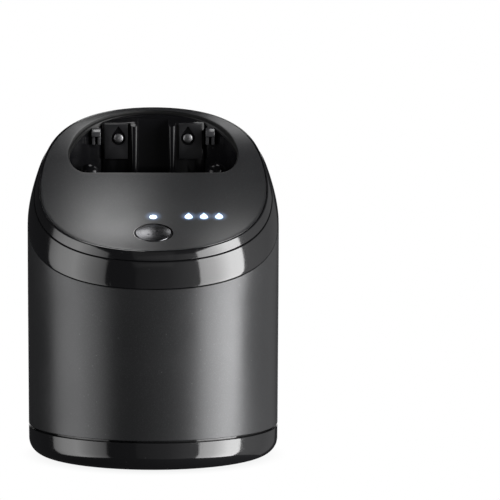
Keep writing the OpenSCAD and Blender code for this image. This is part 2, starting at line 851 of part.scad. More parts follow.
module pump_motor() {
    color("#a9acb0") translate([pump_x, pump_y, chassis_top_z + pump_h]) difference() {
        union() {
            cylinder(r = pump_r - 2.2, h = pump_motor_h);
            translate([0, 0, pump_motor_h]) cylinder(r = 4, h = 2);
        }
        translate([0, 0, -1]) cylinder(r = shaft_r + shaft_gap, h = pump_motor_h - 4);
    }
}

module pump_impeller() {
    color("#c8ccd0") translate([pump_x, pump_y, chassis_top_z]) {
        translate([0, 0, 3.2]) cylinder(r = pump_r - 3, h = 1.2);
        translate([0, 0, 4.4]) cylinder(r = shaft_r, h = pump_h + pump_motor_h - 12);
        for (i = [0 : impeller_vanes - 1]) rotate(i * 360 / impeller_vanes)
            translate([shaft_r - 0.2, -0.5, 4.4]) cube([pump_r - 3.4 - shaft_r, 1, pump_h - 8]);
    }
}

module nozzle_seals() {
    color("#0a0a0a") {
        translate([pump_x, pump_y, cartridge_top_z + slide_gap])
            tube(port_r, port_r - seal_w, nozzle_rise - slide_gap);
        translate([0, drain_y, cartridge_top_z + slide_gap])
            tube(drain_port_r, drain_r - 1, nozzle_rise - slide_gap);
    }
}

module drain_tube() {
    color("#24262a") translate([0, drain_y, cartridge_top_z + nozzle_rise])
        tube(drain_port_r, drain_r - 1, basin_z - cartridge_top_z - nozzle_rise);
}

module supply_hose() {
    color("#b9bec4") translate([hose_x, pump_y, 0]) {
        translate([0, 0, outlet_z - hose_r]) cylinder(r = hose_r, h = hose_z - outlet_z + hose_r);
        translate([0, 0, hose_z]) sphere(r = hose_r);
        translate([0, 0, hose_z]) rotate([-90, 0, 0])
            cylinder(r = hose_r, h = bay_front_y - basin_wall - pump_y);
    }
}

module fan_housing() {
    color("#303236") translate([fan_x, fan_y, chassis_top_z]) difference() {
        cylinder(r = fan_r, h = fan_h);
        translate([0, 0, 2]) cylinder(r = fan_r - 2, h = fan_h - 4);
        translate([0, 0, fan_h - 3]) cylinder(r = fan_eye_r, h = 10);
        translate([duct_wall - duct_w / 2, duct_back_y + duct_wall - fan_y, fan_h - 3])
            cube([duct_w - 2 * duct_wall, duct_foot, 10]);
        translate([0, 0, -1]) cylinder(r = shaft_r + shaft_gap, h = 10);
    }
}

module fan_rotor() {
    color("#5a5d62") translate([fan_x, fan_y, chassis_top_z]) {
        translate([0, 0, 0.4]) cylinder(r = shaft_r, h = fan_h - 4);
        translate([0, 0, 3]) cylinder(r = fan_r - 4, h = 1);
        translate([0, 0, 3]) cylinder(r = fan_hub_r, h = fan_h - 6.5);
        for (i = [0 : fan_blades - 1]) rotate(i * 360 / fan_blades)
            translate([fan_r - 4.5 - blade_w, -blade_t / 2, 3.5]) cube([blade_w, blade_t, fan_h - 7.5]);
    }
}

module air_duct() {
    z = chassis_top_z + fan_h;
    inner_w = duct_w - 2 * duct_wall;
    color("#26282b") translate([fan_x, duct_back_y, 0]) difference() {
        translate([-duct_w / 2, 0, z]) cube([duct_w, bay_front_y - basin_wall - duct_back_y,
            duct_mouth_z + duct_mouth_h + duct_wall - z]);
        translate([-inner_w / 2, duct_wall, z - 1])
            cube([inner_w, duct_foot, duct_mouth_z + duct_mouth_h - z + 1]);
        translate([-inner_w / 2, duct_wall, duct_mouth_z]) cube([inner_w, 60, duct_mouth_h]);
    }
}

module main_board() {
    translate([main_board_x, main_board_y, chassis_top_z]) {
        color("#1f4a33") cube([board_t, main_board_w, main_board_h]);
        color("#101010") translate([-motor_driver_t, 10, 6])
            cube([motor_driver_t, motor_driver_w, motor_driver_w]);
        color("#2b2b2b") translate([-board_plug_t, 26, 5])
            cube([board_plug_t, board_plug_w, board_plug_h]);
    }
}

// ---- Contact pins ----

module contact_pin() {
    color("#9b9ea3") translate([0, tower_y - plate_t - pin_reach, pin_z]) rotate([-90, 0, 0]) {
        intersection() {
            cylinder(r = pin_r, h = pin_length);
            translate([0, 0, 6]) sphere(r = 6);
        }
    }
}

module contact_pin_left() {
    translate([-pin_x, 0, 0]) contact_pin();
}

module contact_pin_right() {
    translate([pin_x, 0, 0]) contact_pin();
}

base_ring();
base_plate();
rubber_feet();
base_screws();
rear_column();
power_socket();
power_socket_pins();
lift_spring_left();
lift_spring_right();
cartridge_tub();
cartridge_cover();
cartridge_filter();
pickup_tube();
main_sleeve();
collar_band();
bezel_band();
top_panel();
cradle_basin();
contact_tower();
contact_plates();
cradle_clips();
cradle_rests();
start_button_ring();
status_light();
level_lights();
indicator_board();
chassis_plate();
guide_rails();
latch_bracket();
chassis_screws();
pump_housing();
pump_motor();
nozzle_seals();
drain_tube();
supply_hose();
fan_housing();
air_duct();
main_board();
contact_pin_left();
contact_pin_right();
start_button();
lift_button();
lift_button_spring();
latch_hook();
pump_impeller();
fan_rotor();
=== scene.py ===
import json
import math

import bmesh
import bpy
from mathutils import Matrix, Vector


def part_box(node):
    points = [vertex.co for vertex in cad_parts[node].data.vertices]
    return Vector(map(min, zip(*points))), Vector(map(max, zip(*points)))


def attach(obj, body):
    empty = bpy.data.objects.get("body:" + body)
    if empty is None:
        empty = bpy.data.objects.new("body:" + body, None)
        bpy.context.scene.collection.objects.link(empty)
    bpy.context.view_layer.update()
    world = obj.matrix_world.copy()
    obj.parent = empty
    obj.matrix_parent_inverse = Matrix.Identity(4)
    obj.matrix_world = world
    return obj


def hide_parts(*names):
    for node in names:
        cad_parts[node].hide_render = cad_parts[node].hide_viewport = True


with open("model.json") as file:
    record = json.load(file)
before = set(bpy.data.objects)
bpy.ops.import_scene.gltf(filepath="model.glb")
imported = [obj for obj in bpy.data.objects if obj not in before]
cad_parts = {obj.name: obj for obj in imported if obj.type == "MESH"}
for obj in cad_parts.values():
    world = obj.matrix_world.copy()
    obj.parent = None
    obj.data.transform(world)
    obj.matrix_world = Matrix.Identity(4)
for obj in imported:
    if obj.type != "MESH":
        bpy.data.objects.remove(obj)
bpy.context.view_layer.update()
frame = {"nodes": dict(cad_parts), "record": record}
nodes = frame["nodes"]
scene = bpy.context.scene
slotOf = {part["node"]: part["material_slot"] for part in frame["record"]["subparts"]}
bodyOf = {node: body for body, members in frame["record"]["behaviour"]["bodies"].items()
          for node in members}
finishes = {}
print("frame loaded")


# Node trees

def join(tree, value, socket):
    if isinstance(value, bpy.types.NodeSocket):
        tree.links.new(value, socket)
    else:
        socket.default_value = value


def put(tree, kind, inputs=None, **settings):
    node = tree.nodes.new(kind)
    for key, value in settings.items():
        setattr(node, key, value)
    for key, value in (inputs or {}).items():
        join(tree, value, node.inputs[key])
    return node


def calc(tree, operation, *values):
    return put(tree, "ShaderNodeMath", dict(enumerate(values)), operation=operation).outputs[0]


def product(tree, first, second):
    return calc(tree, "MULTIPLY", first, second)


def between(tree, value, low, high, toLow=0.0, toHigh=1.0, smooth=True):
    mapped = put(tree, "ShaderNodeMapRange", {"Value": value, "From Min": low, "From Max": high,
                                              "To Min": toLow, "To Max": toHigh},
                 interpolation_type="SMOOTHSTEP" if smooth else "LINEAR")
    return mapped.outputs["Result"]


def blendColour(tree, factor, first, second):
    # Colours are linked, or given as three numbers
    first, second = ((*c, 1) if isinstance(c, tuple) else c for c in (first, second))
    mix = put(tree, "ShaderNodeMix", {0: factor, 6: first, 7: second}, data_type="RGBA")
    return mix.outputs[2]


def placed(tree, vector, location=(0, 0, 0), scale=(1, 1, 1), rotation=(0, 0, 0)):
    return put(tree, "ShaderNodeMapping", {"Vector": vector, "Location": location, "Scale": scale,
                                           "Rotation": rotation}).outputs[0]


def noise(tree, vector, scale, detail, **others):
    inputs = {"Vector": vector, "Scale": scale, "Detail": detail, **others}
    return put(tree, "ShaderNodeTexNoise", inputs).outputs[0]


def farFrom(tree, vector, point):
    # Distance from a point in the piece's own coordinates
    return put(tree, "ShaderNodeVectorMath", {0: vector, 1: point},
               operation="DISTANCE").outputs["Value"]


def newGroup(name, inputs, outputs, kind="ShaderNodeTree"):
    tree = bpy.data.node_groups.new(name, kind)
    for label, socket, value in inputs:
        made = tree.interface.new_socket(label, in_out="INPUT", socket_type=socket)
        if value is not None:
            made.default_value = value
    for label, socket in outputs:
        tree.interface.new_socket(label, in_out="OUTPUT", socket_type=socket)
    return tree, tree.nodes.new("NodeGroupInput"), tree.nodes.new("NodeGroupOutput")


def giveOut(tree, out, *values):
    for index, value in enumerate(values):
        tree.links.new(value, out.inputs[index])


def useGroup(tree, group, vector, scale=None):
    inputs = {"Vector": vector} if scale is None else {"Vector": vector, "Scale": scale}
    return put(tree, "ShaderNodeGroup", inputs, node_tree=group).outputs


def makeMarks():
    # Finger smudges, dust specks and hairline scratches of a handled glossy surface
    tree, given, out = newGroup("surfaceMarks",
                                [("Vector", "NodeSocketVector", None),
                                 ("Scale", "NodeSocketFloat", 1.0)],
                                [("Smudge", "NodeSocketFloat"), ("Speck", "NodeSocketFloat"),
                                 ("Scratch", "NodeSocketFloat")])
    vector = put(tree, "ShaderNodeVectorMath", {0: given.outputs[0]}, operation="SCALE")
    tree.links.new(given.outputs[1], vector.inputs["Scale"])
    vector = vector.outputs[0]
    cloud = noise(tree, vector, 38.0, 4.0, Roughness=0.62, Distortion=0.4)
    smudge = between(tree, cloud, 0.46, 0.72)
    cells = put(tree, "ShaderNodeTexVoronoi", {"Vector": vector, "Scale": 620.0})
    pick = put(tree, "ShaderNodeSeparateColor", {0: cells.outputs["Color"]})
    dot = between(tree, cells.outputs["Distance"], 0.16, 0.1)
    speck = product(tree, dot, calc(tree, "GREATER_THAN", pick.outputs[0], 0.93))
    lines = None
    for turn, stretch in ((0.5, 900.0), (1.9, 700.0), (2.7, 1100.0)):
        pulled = placed(tree, vector, (turn, 0, 0), (stretch, 26.0, stretch * 0.6),
                        (turn * 0.4, turn, turn))
        line = between(tree, noise(tree, pulled, 1.0, 1.0), 0.74, 0.79)
        lines = line if lines is None else calc(tree, "MAXIMUM", lines, line)
    giveOut(tree, out, smudge, speck, lines)
    return tree


def makeGrain():
    # Fine moulded or sprayed grain: a height, a slow tone drift and sharp glints
    tree, given, out = newGroup("fineGrain",
                                [("Vector", "NodeSocketVector", None),
                                 ("Scale", "NodeSocketFloat", 2400.0)],
                                [("Height", "NodeSocketFloat"), ("Tone", "NodeSocketFloat"),
                                 ("Glint", "NodeSocketFloat")])
    vector, scale = given.outputs[0], given.outputs[1]
    fine = noise(tree, vector, scale, 3.0, Roughness=0.7)
    coarse = product(tree, scale, 0.32)
    pebble = put(tree, "ShaderNodeTexVoronoi", {"Vector": vector, "Scale": coarse},
                 feature="SMOOTH_F1").outputs["Distance"]
    height = calc(tree, "ADD", product(tree, fine, 0.6), product(tree, pebble, 0.4))
    tone = between(tree, noise(tree, vector, 24.0, 5.0), 0.3, 0.7, -1.0, 1.0, False)
    flake = put(tree, "ShaderNodeTexVoronoi", {"Vector": vector, "Scale": scale})
    pick = put(tree, "ShaderNodeSeparateColor", {0: flake.outputs["Color"]})
    glint = between(tree, pick.outputs[1], 0.82, 1.0, smooth=False)
    giveOut(tree, out, height, tone, glint)
    return tree


def makeRound():
    # Arc length round the upright axis, height and radius, for marks that follow a round wall
    tree, given, out = newGroup("roundCoords", [("Vector", "NodeSocketVector", None)],
                                [("Vector", "NodeSocketVector")])
    wallRadius = 0.06
    x, y, z = put(tree, "ShaderNodeSeparateXYZ", {0: given.outputs[0]}).outputs
    radius = calc(tree, "SQRT", calc(tree, "ADD", product(tree, x, x), product(tree, y, y)))
    angle = calc(tree, "ARCTAN2", x, product(tree, y, -1.0))
    unrolled = put(tree, "ShaderNodeCombineXYZ", {0: product(tree, angle, wallRadius),
                                                  1: z, 2: radius})
    giveOut(tree, out, unrolled.outputs[0])
    return tree


marks, grain, roundCoords = makeMarks(), makeGrain(), makeRound()


def startMaterial(name):
    material = bpy.data.materials.new(name)
    material.use_nodes = True
    tree = material.node_tree
    shader = tree.nodes["Principled BSDF"]
    place = tree.nodes.new("ShaderNodeTexCoord").outputs["Object"]
    finishes[name] = material
    return tree, shader, place


def setShader(tree, shader, values):
    for label, value in values.items():
        join(tree, value, shader.inputs[label])


def bumped(tree, height, strength, distance):
    return put(tree, "ShaderNodeBump", {"Height": height, "Strength": strength,
                                        "Distance": distance}).outputs[0]


def moulded(name, colour, roughness, grainScale, depth, metallic=0.0, glint=0.0, coat=0.0,
            wear=0.15, specular=0.5):
    # Moulded, sprayed or rubber surface with grain, slow tone drift, dust and light rubbing
    tree, shader, place = startMaterial(name)
    height, drift, spark = useGroup(tree, grain, place, grainScale)
    smudge, speck, scratch = useGroup(tree, marks, place, 1.0)
    lighter = tuple(min(1, c * 1.5 + 0.02) for c in colour)
    darker = tuple(c * 0.88 for c in colour)
    shade = blendColour(tree, between(tree, drift, -1, 1, smooth=False), darker, colour)
    shade = blendColour(tree, product(tree, speck, wear), shade, lighter)
    if glint:
        shade = blendColour(tree, spark, shade, tuple(min(1, c * (1 + glint)) for c in colour))
    rubbed = between(tree, smudge, 0, 1, roughness, roughness * 1.15 + 0.02)
    setShader(tree, shader, {
        "Base Color": shade, "Metallic": metallic, "Specular IOR Level": specular,
        "Roughness": calc(tree, "ADD", rubbed, product(tree, scratch, wear * 0.2)),
        "Coat Weight": coat, "Coat Roughness": 0.12,
        "Normal": bumped(tree, height, depth, 0.00005)})


def polished(name, colour, roughness, marksScale, dust=0.25, specular=0.5):
    # Polished plastic with smudges, dust and hairlines
    tree, shader, place = startMaterial(name)
    smudge, speck, scratch = useGroup(tree, marks, place, marksScale)
    dusty = tuple(c + 0.05 for c in colour)
    flaws = calc(tree, "MAXIMUM", scratch, speck)
    height = calc(tree, "SUBTRACT", noise(tree, place, 60.0, 2.0), product(tree, scratch, 0.1))
    setShader(tree, shader, {
        "Base Color": blendColour(tree, product(tree, speck, dust), colour, dusty),
        "Roughness": calc(tree, "ADD", between(tree, smudge, 0, 1, roughness, roughness + 0.035),
                          product(tree, flaws, 0.12)),
        "Specular IOR Level": specular, "Normal": bumped(tree, height, 0.06, 0.0001)})


def drawn(name, colour, roughness, stretch):
    # Bare metal with fine tool or drawing lines along one direction and slight staining
    tree, shader, place = startMaterial(name)
    lines = noise(tree, placed(tree, place, scale=stretch), 1.0, 3.0, Roughness=0.6)
    smudge, speck, scratch = useGroup(tree, marks, place, 2.0)
    dull = tuple(c * 0.55 for c in colour)
    shade = blendColour(tree, product(tree, smudge, 0.3), colour, dull)
    height = calc(tree, "SUBTRACT", lines, product(tree, scratch, 0.3))
    setShader(tree, shader, {
        "Base Color": blendColour(tree, speck, shade, dull), "Metallic": 1.0,
        "Roughness": between(tree, lines, 0.25, 0.75, roughness * 0.75, roughness * 1.35, False),
        "Normal": bumped(tree, height, 0.2, 0.00002)})


print("node groups built")


# The panel's sweep, in metres: a hollow arc at the front that meets a crest arc at the back
sweep = {"edgeRadius": 0.05485, "frontHeight": 0.1037, "frontSlope": 15.7,
         "dishRadius": 0.1783, "inflectY": 0.0155, "crestRadius": 0.1135}
dishRadius, crestRadius = sweep["dishRadius"], sweep["crestRadius"]
frontSlope = math.radians(sweep["frontSlope"])
dishY = -sweep["edgeRadius"] - dishRadius * math.sin(frontSlope)
dishZ = sweep["frontHeight"] + dishRadius * math.cos(frontSlope)
turnSlope = math.asin((sweep["inflectY"] - dishY) / dishRadius)
crestY = sweep["inflectY"] + crestRadius * math.sin(turnSlope)
crestZ = dishZ - dishRadius * math.cos(turnSlope) - crestRadius * math.cos(turnSlope)

# The outer walls: foot, sleeve, its bore, and the gaps between them
shell = {"footRadius": 0.0602, "sleeveRadius": 0.0604, "boreRadius": 0.0579,
         "ringHeight": 0.0145, "sleeveFoot": 0.0155, "bandDrop": 0.0157, "seam": 0.0003}


def sweepHeight(y):
    if y <= sweep["inflectY"]:
        return dishZ - math.sqrt(dishRadius ** 2 - (y - dishY) ** 2)
    return crestZ + math.sqrt(crestRadius ** 2 - (crestY - y) ** 2)


def sweepAngle(y):
    if y <= sweep["inflectY"]:
        return math.asin((y - dishY) / dishRadius)
    return math.asin((crestY - y) / crestRadius)


def onPanel(x, y):
    return Matrix.Translation((x, y, sweepHeight(y))) @ Matrix.Rotation(sweepAngle(y), 4, "X")


# Meshes

boxFaces = [(0, 1, 3, 2), (4, 6, 7, 5), (0, 4, 5, 1), (2, 3, 7, 6), (0, 2, 6, 4), (1, 5, 7, 3)]


def linked(name, data):
    made = bpy.data.objects.new(name, data)
    scene.collection.objects.link(made)
    return made


def meshObject(name, points, faces):
    mesh = bpy.data.meshes.new(name)
    mesh.from_pydata([tuple(p) for p in points], [], faces)
    return linked(name, mesh)


def tidyMesh(made, sharp=32.0, outward=True):
    bm = bmesh.new()
    bm.from_mesh(made.data)
    bmesh.ops.remove_doubles(bm, verts=bm.verts, dist=1e-6)
    bmesh.ops.dissolve_degenerate(bm, edges=bm.edges, dist=1e-7)
    if outward:
        bmesh.ops.recalc_face_normals(bm, faces=bm.faces)
    bm.to_mesh(made.data)
    bm.free()
    made.data.polygons.foreach_set("use_smooth", [True] * len(made.data.polygons))
    made.data.set_sharp_from_angle(angle=math.radians(sharp))
    return made


def applied(made):
    bpy.context.view_layer.update()
    graph = bpy.context.evaluated_depsgraph_get()
    mesh = bpy.data.meshes.new_from_object(made.evaluated_get(graph), depsgraph=graph)
    for modifier in list(made.modifiers):
        made.modifiers.remove(modifier)
    made.data = mesh
    return made


def loopSkin(name, loops, closed=True, capFirst=False, capLast=False, matrix=None):
    # A skin over loops of equal length; closed joins the last loop to the first
    count = len(loops[0])
    points = [Vector(p) for loop in loops for p in loop]
    if matrix is not None:
        points = [matrix @ p for p in points]
    faces = []
    total = len(loops)
    for i in range(total if closed else total - 1):
        a, b = i * count, ((i + 1) % total) * count
        for j in range(count):
            k = (j + 1) % count
            faces.append((a + j, a + k, b + k, b + j))
    if capFirst:
        faces.append(tuple(range(count))[::-1])
    if capLast:
        faces.append(tuple(range((total - 1) * count, total * count)))
    return meshObject(name, points, faces)


def rounded(profile, steps=4):
    # Rounds the corners of a closed section, whose points are
    # (radius, height, follows the sweep, rounding)
    made = []
    for i, (r, z, follows, size) in enumerate(profile):
        if not size:
            made.append((r, z, follows))
            continue
        ways = []
        for other in (profile[i - 1], profile[(i + 1) % len(profile)]):
            # A neighbour that does not share the sweep stands well below or above
            dz = other[1] - z if other[2] == follows else (-0.05 if follows else 0.05)
            ways.append(Vector((other[0] - r, dz)).normalized())
        half = math.acos(max(-1, min(1, ways[0].dot(ways[1])))) / 2
        away = size / math.tan(half)
        corner = Vector((r, z))
        start, end = corner + ways[0] * away, corner + ways[1] * away
        centre = corner + (ways[0] + ways[1]).normalized() * size / math.sin(half)
        first, last = start - centre, end - centre
        bend = math.atan2(first.x * last.y - first.y * last.x, first.dot(last))
        for step in range(steps + 1):
            a = bend * step / steps
            spoke = Vector((first.x * math.cos(a) - first.y * math.sin(a),
                            first.x * math.sin(a) + first.y * math.cos(a)))
            made.append((centre.x + spoke.x, centre.y + spoke.y, follows))
    return made


def lathe(name, profile, segments=64, matrix=None):
    # Turns a list of (radius, height) round Z; the ends are closed where their radius is zero
    turns = [2 * math.pi * j / segments for j in range(segments)]
    loops = [[(r * math.cos(a), r * math.sin(a), z) for a in turns] for r, z in profile]
    closed = profile[0][0] > 1e-7 or profile[-1][0] > 1e-7
    return loopSkin(name, loops, closed, matrix=matrix)


def boxCutter(low, high):
    points = [(x, y, z) for x in (low[0], high[0]) for y in (low[1], high[1])
              for z in (low[2], high[2])]
    return tidyMesh(meshObject("cutter", points, boxFaces))


def cut(made, cutters):
    for cutter in cutters:
        modifier = made.modifiers.new("cut", "BOOLEAN")
        modifier.operation, modifier.solver, modifier.object = "DIFFERENCE", "EXACT", cutter
    applied(made)
    for cutter in cutters:
        bpy.data.objects.remove(cutter)
    return made


def joined(name, objects):
    bm = bmesh.new()
    for made in objects:
        bm.from_mesh(made.data)
        bpy.data.objects.remove(made)
    mesh = bpy.data.meshes.new(name)
    bm.to_mesh(mesh)
    bm.free()
    return linked(name, mesh)


def dressed(made, node):
    slot = slotOf[node]
    made.data.materials.clear()
    made.data.materials.append(finishes[slot])


def finished(made, node):
    # The piece stands for this CAD node, with its body, its slot and that slot's material
    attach(made, bodyOf[node])
    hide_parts(node)
    dressed(made, node)


# Geometry node trees

def runTree(name, tree, values, mesh=None):
    made = linked(name, mesh or bpy.data.meshes.new(name))
    modifier = made.modifiers.new(name, "NODES")
    modifier.node_group = tree
    sockets = {item.name: item.identifier for item in tree.interface.items_tree
               if item.item_type == "SOCKET" and item.in_out == "INPUT"}
    for label, value in values.items():
        modifier[sockets[label]] = value
    return applied(made)


def newTree(name, inputs):
    return newGroup(name, [*inputs, ("Material", "NodeSocketMaterial", None)],
                    [("Geometry", "NodeSocketGeometry")], "GeometryNodeTree")


def closeTree(tree, given, out, geometry):
    whole = put(tree, "GeometryNodeRealizeInstances", {0: geometry})
    coated = put(tree, "GeometryNodeSetMaterial", {0: whole.outputs[0],
                                                   "Material": given.outputs["Material"]})
    giveOut(tree, out, coated.outputs[0])


sweepInputs = {"Dish Radius": dishRadius, "Dish Y": dishY, "Dish Z": dishZ,
               "Turn": sweep["inflectY"], "Crest Radius": crestRadius, "Crest Y": crestY,
               "Crest Z": crestZ}


def makeBandTree():
    # A section carried round the upright axis; points that follow the sweep rise and fall with it
    tree, given, out = newTree("sweptBand", [
        ("Section", "NodeSocketGeometry", None), ("Steps", "NodeSocketInt", 192),
        *[(label, "NodeSocketFloat", value) for label, value in sweepInputs.items()]])
    sockets = given.outputs
    count = put(tree, "GeometryNodeAttributeDomainSize",
                {0: sockets["Section"]}).outputs["Point Count"]
    rows = calc(tree, "ADD", sockets["Steps"], 1.0)
    grid = put(tree, "GeometryNodeMeshGrid", {"Vertices X": calc(tree, "ADD", count, 1.0),
                                              "Vertices Y": rows})
    index = tree.nodes.new("GeometryNodeInputIndex").outputs[0]
    around = calc(tree, "MODULO", index, rows)
    along = calc(tree, "FLOOR", calc(tree, "DIVIDE", calc(tree, "ADD", index, 0.5), rows))
    along = calc(tree, "MODULO", along, count)

    def sampled(value, kind):
        return put(tree, "GeometryNodeSampleIndex", {0: sockets["Section"], "Value": value,
                                                     "Index": along}, data_type=kind).outputs[0]

    position = tree.nodes.new("GeometryNodeInputPosition").outputs[0]
    point = put(tree, "ShaderNodeSeparateXYZ", {0: sampled(position, "FLOAT_VECTOR")}).outputs
    flag = put(tree, "GeometryNodeInputNamedAttribute", {"Name": "follows"},
               data_type="FLOAT").outputs[0]
    follows = sampled(flag, "FLOAT")
    angle = product(tree, calc(tree, "DIVIDE", around, sockets["Steps"]), 2 * math.pi)
    x = product(tree, point[0], calc(tree, "COSINE", angle))
    y = product(tree, point[0], calc(tree, "SINE", angle))

    def arc(name, sign):
        radius, reach = sockets[name + " Radius"], calc(tree, "SUBTRACT", y, sockets[name + " Y"])
        depth = calc(tree, "SUBTRACT", product(tree, radius, radius), product(tree, reach, reach))
        return calc(tree, sign, sockets[name + " Z"], calc(tree, "SQRT", depth))

    behind = calc(tree, "GREATER_THAN", y, sockets["Turn"])
    rise = put(tree, "ShaderNodeMix", {0: behind, 2: arc("Dish", "SUBTRACT"),
                                       3: arc("Crest", "ADD")})
    z = calc(tree, "ADD", point[2], product(tree, follows, rise.outputs[0]))
    place = put(tree, "ShaderNodeCombineXYZ", {0: x, 1: y, 2: z})
    moved = put(tree, "GeometryNodeSetPosition", {0: grid.outputs[0], "Position": place.outputs[0]})
    merged = put(tree, "GeometryNodeMergeByDistance", {0: moved.outputs[0], "Distance": 0.000001})
    smooth = put(tree, "GeometryNodeSetShadeSmooth", {0: merged.outputs[0]})
    closeTree(tree, given, out, smooth.outputs[0])
    return tree


def makeCopyTree():
    # Copies of one small piece on the points of a pattern, turned with the step between them
    tree, given, out = newTree("copiesOnPoints", [
        ("Points", "NodeSocketGeometry", None), ("Piece", "NodeSocketObject", None),
        ("Turn", "NodeSocketFloat", 0.0)])
    piece = put(tree, "GeometryNodeObjectInfo", {"Object": given.outputs["Piece"]})
    index = tree.nodes.new("GeometryNodeInputIndex").outputs[0]
    turn = put(tree, "ShaderNodeCombineXYZ", {2: product(tree, index, given.outputs["Turn"])})
    copied = put(tree, "GeometryNodeInstanceOnPoints", {
        0: given.outputs["Points"], "Instance": piece.outputs["Geometry"],
        "Rotation": turn.outputs[0]})
    closeTree(tree, given, out, copied.outputs[0])
    return tree


def makeCoilTree():
    # Round wire wound into a helix along Z
    tree, given, out = newTree("wireCoil", [
        ("Radius", "NodeSocketFloat", 0.0026), ("Wire", "NodeSocketFloat", 0.0004),
        ("Length", "NodeSocketFloat", 0.008), ("Turns", "NodeSocketFloat", 4.0)])
    radius, wire, length, turns = given.outputs[:4]
    helix = put(tree, "GeometryNodeCurveSpiral", {
        "Resolution": 32, "Rotations": turns, "Start Radius": radius, "End Radius": radius,
        "Height": length})
    section = put(tree, "GeometryNodeCurvePrimitiveCircle", {"Resolution": 12, "Radius": wire})
    coil = put(tree, "GeometryNodeCurveToMesh", {
        0: helix.outputs[0], "Profile Curve": section.outputs[0], "Fill Caps": True})
    smooth = put(tree, "GeometryNodeSetShadeSmooth", {0: coil.outputs[0]})
    closeTree(tree, given, out, smooth.outputs[0])
    return tree


bandTree, copyTree, coilTree = makeBandTree(), makeCopyTree(), makeCoilTree()


def sweptBand(name, profile, material, steps=192):
    section = rounded(profile)
    mesh = bpy.data.meshes.new(name)
    mesh.from_pydata([(r, 0, z) for r, z, _ in section], [], [])
    flags = mesh.attributes.new("follows", "FLOAT", "POINT")
    flags.data.foreach_set("value", [float(follows) for _, _, follows in section])
    return tidyMesh(runTree(name, bandTree, {"Steps": steps, **sweepInputs,
                                             "Material": material}, mesh))


def copies(name, piece, points, material, turn=0.0, matrix=None):
    mesh = bpy.data.meshes.new(name)
    mesh.from_pydata([tuple(p) for p in points], [], [])
    made = runTree(name, copyTree, {"Piece": piece, "Turn": turn, "Material": material}, mesh)
    if matrix is not None:
        made.data.transform(matrix)
    bpy.data.objects.remove(piece)
    return tidyMesh(made)


print("geometry trees built")


# Sleeve: satin anthracite lacquer with fine metal flake under a thin clear coat
sleeveFinish = {"colour": (0.019, 0.0193, 0.0203), "flake": (0.056, 0.057, 0.06),
                "flakeScale": 5200.0, "streak": (0.02, 0.02, 0.021), "streakScale": (900, 14, 1),
                "dust": (0.3, 0.3, 0.3), "roughness": 0.31, "metallic": 0.5, "coat": 0.08}
tree, shader, place = startMaterial("anthracite_lacquer")
height, drift, glint = useGroup(tree, grain, place, sleeveFinish["flakeScale"])
smudge, speck = useGroup(tree, marks, place, 0.8)[:2]
wall = useGroup(tree, roundCoords, place)[0]
streak = noise(tree, placed(tree, wall, scale=sleeveFinish["streakScale"]), 1.0, 3.0)
streak = between(tree, streak, 0.3, 0.7, 0.0, 0.16)
shade = blendColour(tree, product(tree, glint, 0.5), sleeveFinish["colour"], sleeveFinish["flake"])
shade = blendColour(tree, streak, shade, sleeveFinish["streak"])
shade = blendColour(tree, product(tree, speck, 0.12), shade, sleeveFinish["dust"])
satin = between(tree, drift, -1, 1, sleeveFinish["roughness"] - 0.02,
                sleeveFinish["roughness"] + 0.03)
setShader(tree, shader, {
    "Base Color": shade, "Roughness": calc(tree, "ADD", satin, product(tree, smudge, 0.03)),
    "Metallic": sleeveFinish["metallic"], "Coat Weight": sleeveFinish["coat"],
    "Coat Roughness": 0.3, "Normal": bumped(tree, height, 0.22, 0.00003)})

# Glossy bands: polished piano black with very fine upright polishing lines
bandFinish = {"colour": (0.006, 0.006, 0.0065), "dust": (0.05, 0.05, 0.052), "roughness": 0.075,
              "lines": 0.1, "lineScale": (2600.0, 30, 1)}
tree, shader, place = startMaterial("piano_black")
wall = useGroup(tree, roundCoords, place)[0]
smudge, speck, scratch = useGroup(tree, marks, place, 0.9)
lines = noise(tree, placed(tree, wall, scale=bandFinish["lineScale"]), 1.0, 4.0, Roughness=0.7)
handled = between(tree, smudge, 0, 1, bandFinish["roughness"], bandFinish["roughness"] + 0.03)
brushed = calc(tree, "ADD", between(tree, lines, 0.45, 0.75, 0.0, bandFinish["lines"]),
               product(tree, scratch, 0.08))
setShader(tree, shader, {
    "Base Color": blendColour(tree, product(tree, speck, 0.3), bandFinish["colour"],
                              bandFinish["dust"]),
    "Roughness": calc(tree, "ADD", handled, brushed), "IOR": 1.52,
    "Normal": bumped(tree, lines, 0.05, 0.00002)})

# Panel: satin grey with a near-black gloss lip at the mouth, its colour painted shade where the
# bay's mouth falls dark, and the lights' blue spill on its fine grain
panelFinish = {"colour": (0.019, 0.0193, 0.0205), "flake": (0.075, 0.0765, 0.08),
               "dust": (0.25, 0.25, 0.25), "lip": (0.004, 0.004, 0.004), "roughness": 0.33,
               "metallic": 0.2, "spill": (0.4, 0.6, 1.0), "spillReach": 0.0058,
               "spillPower": 0.22, "spillFall": 2.6}
lights = {"y": -0.0215, "statusRadius": 0.0019, "dropRadius": 0.002, "firstX": 0.0168,
          "pitch": 0.0072, "tip": 2.0, "guideDepth": 0.0075, "gap": 0.00005, "heartY": 0.0006,
          "heartFrom": 0.0008, "heartTo": 0.0026}
lightPlaces = [0.0] + [lights["firstX"] + i * lights["pitch"] for i in range(3)]
tree, shader, place = startMaterial("panel_grey")
height, drift, glint = useGroup(tree, grain, place, 3600.0)
smudge, speck = useGroup(tree, marks, place, 1.1)[:2]
# The lip at the bay's mouth is painted near-black as painted shade of the mouth, with less metal
# and less specular
paintedLipShade = put(tree, "ShaderNodeAttribute", attribute_name="paintedLipShade").outputs["Fac"]
shade = blendColour(tree, product(tree, glint, 0.35), panelFinish["colour"], panelFinish["flake"])
shade = blendColour(tree, product(tree, speck, 0.15), shade, panelFinish["dust"])
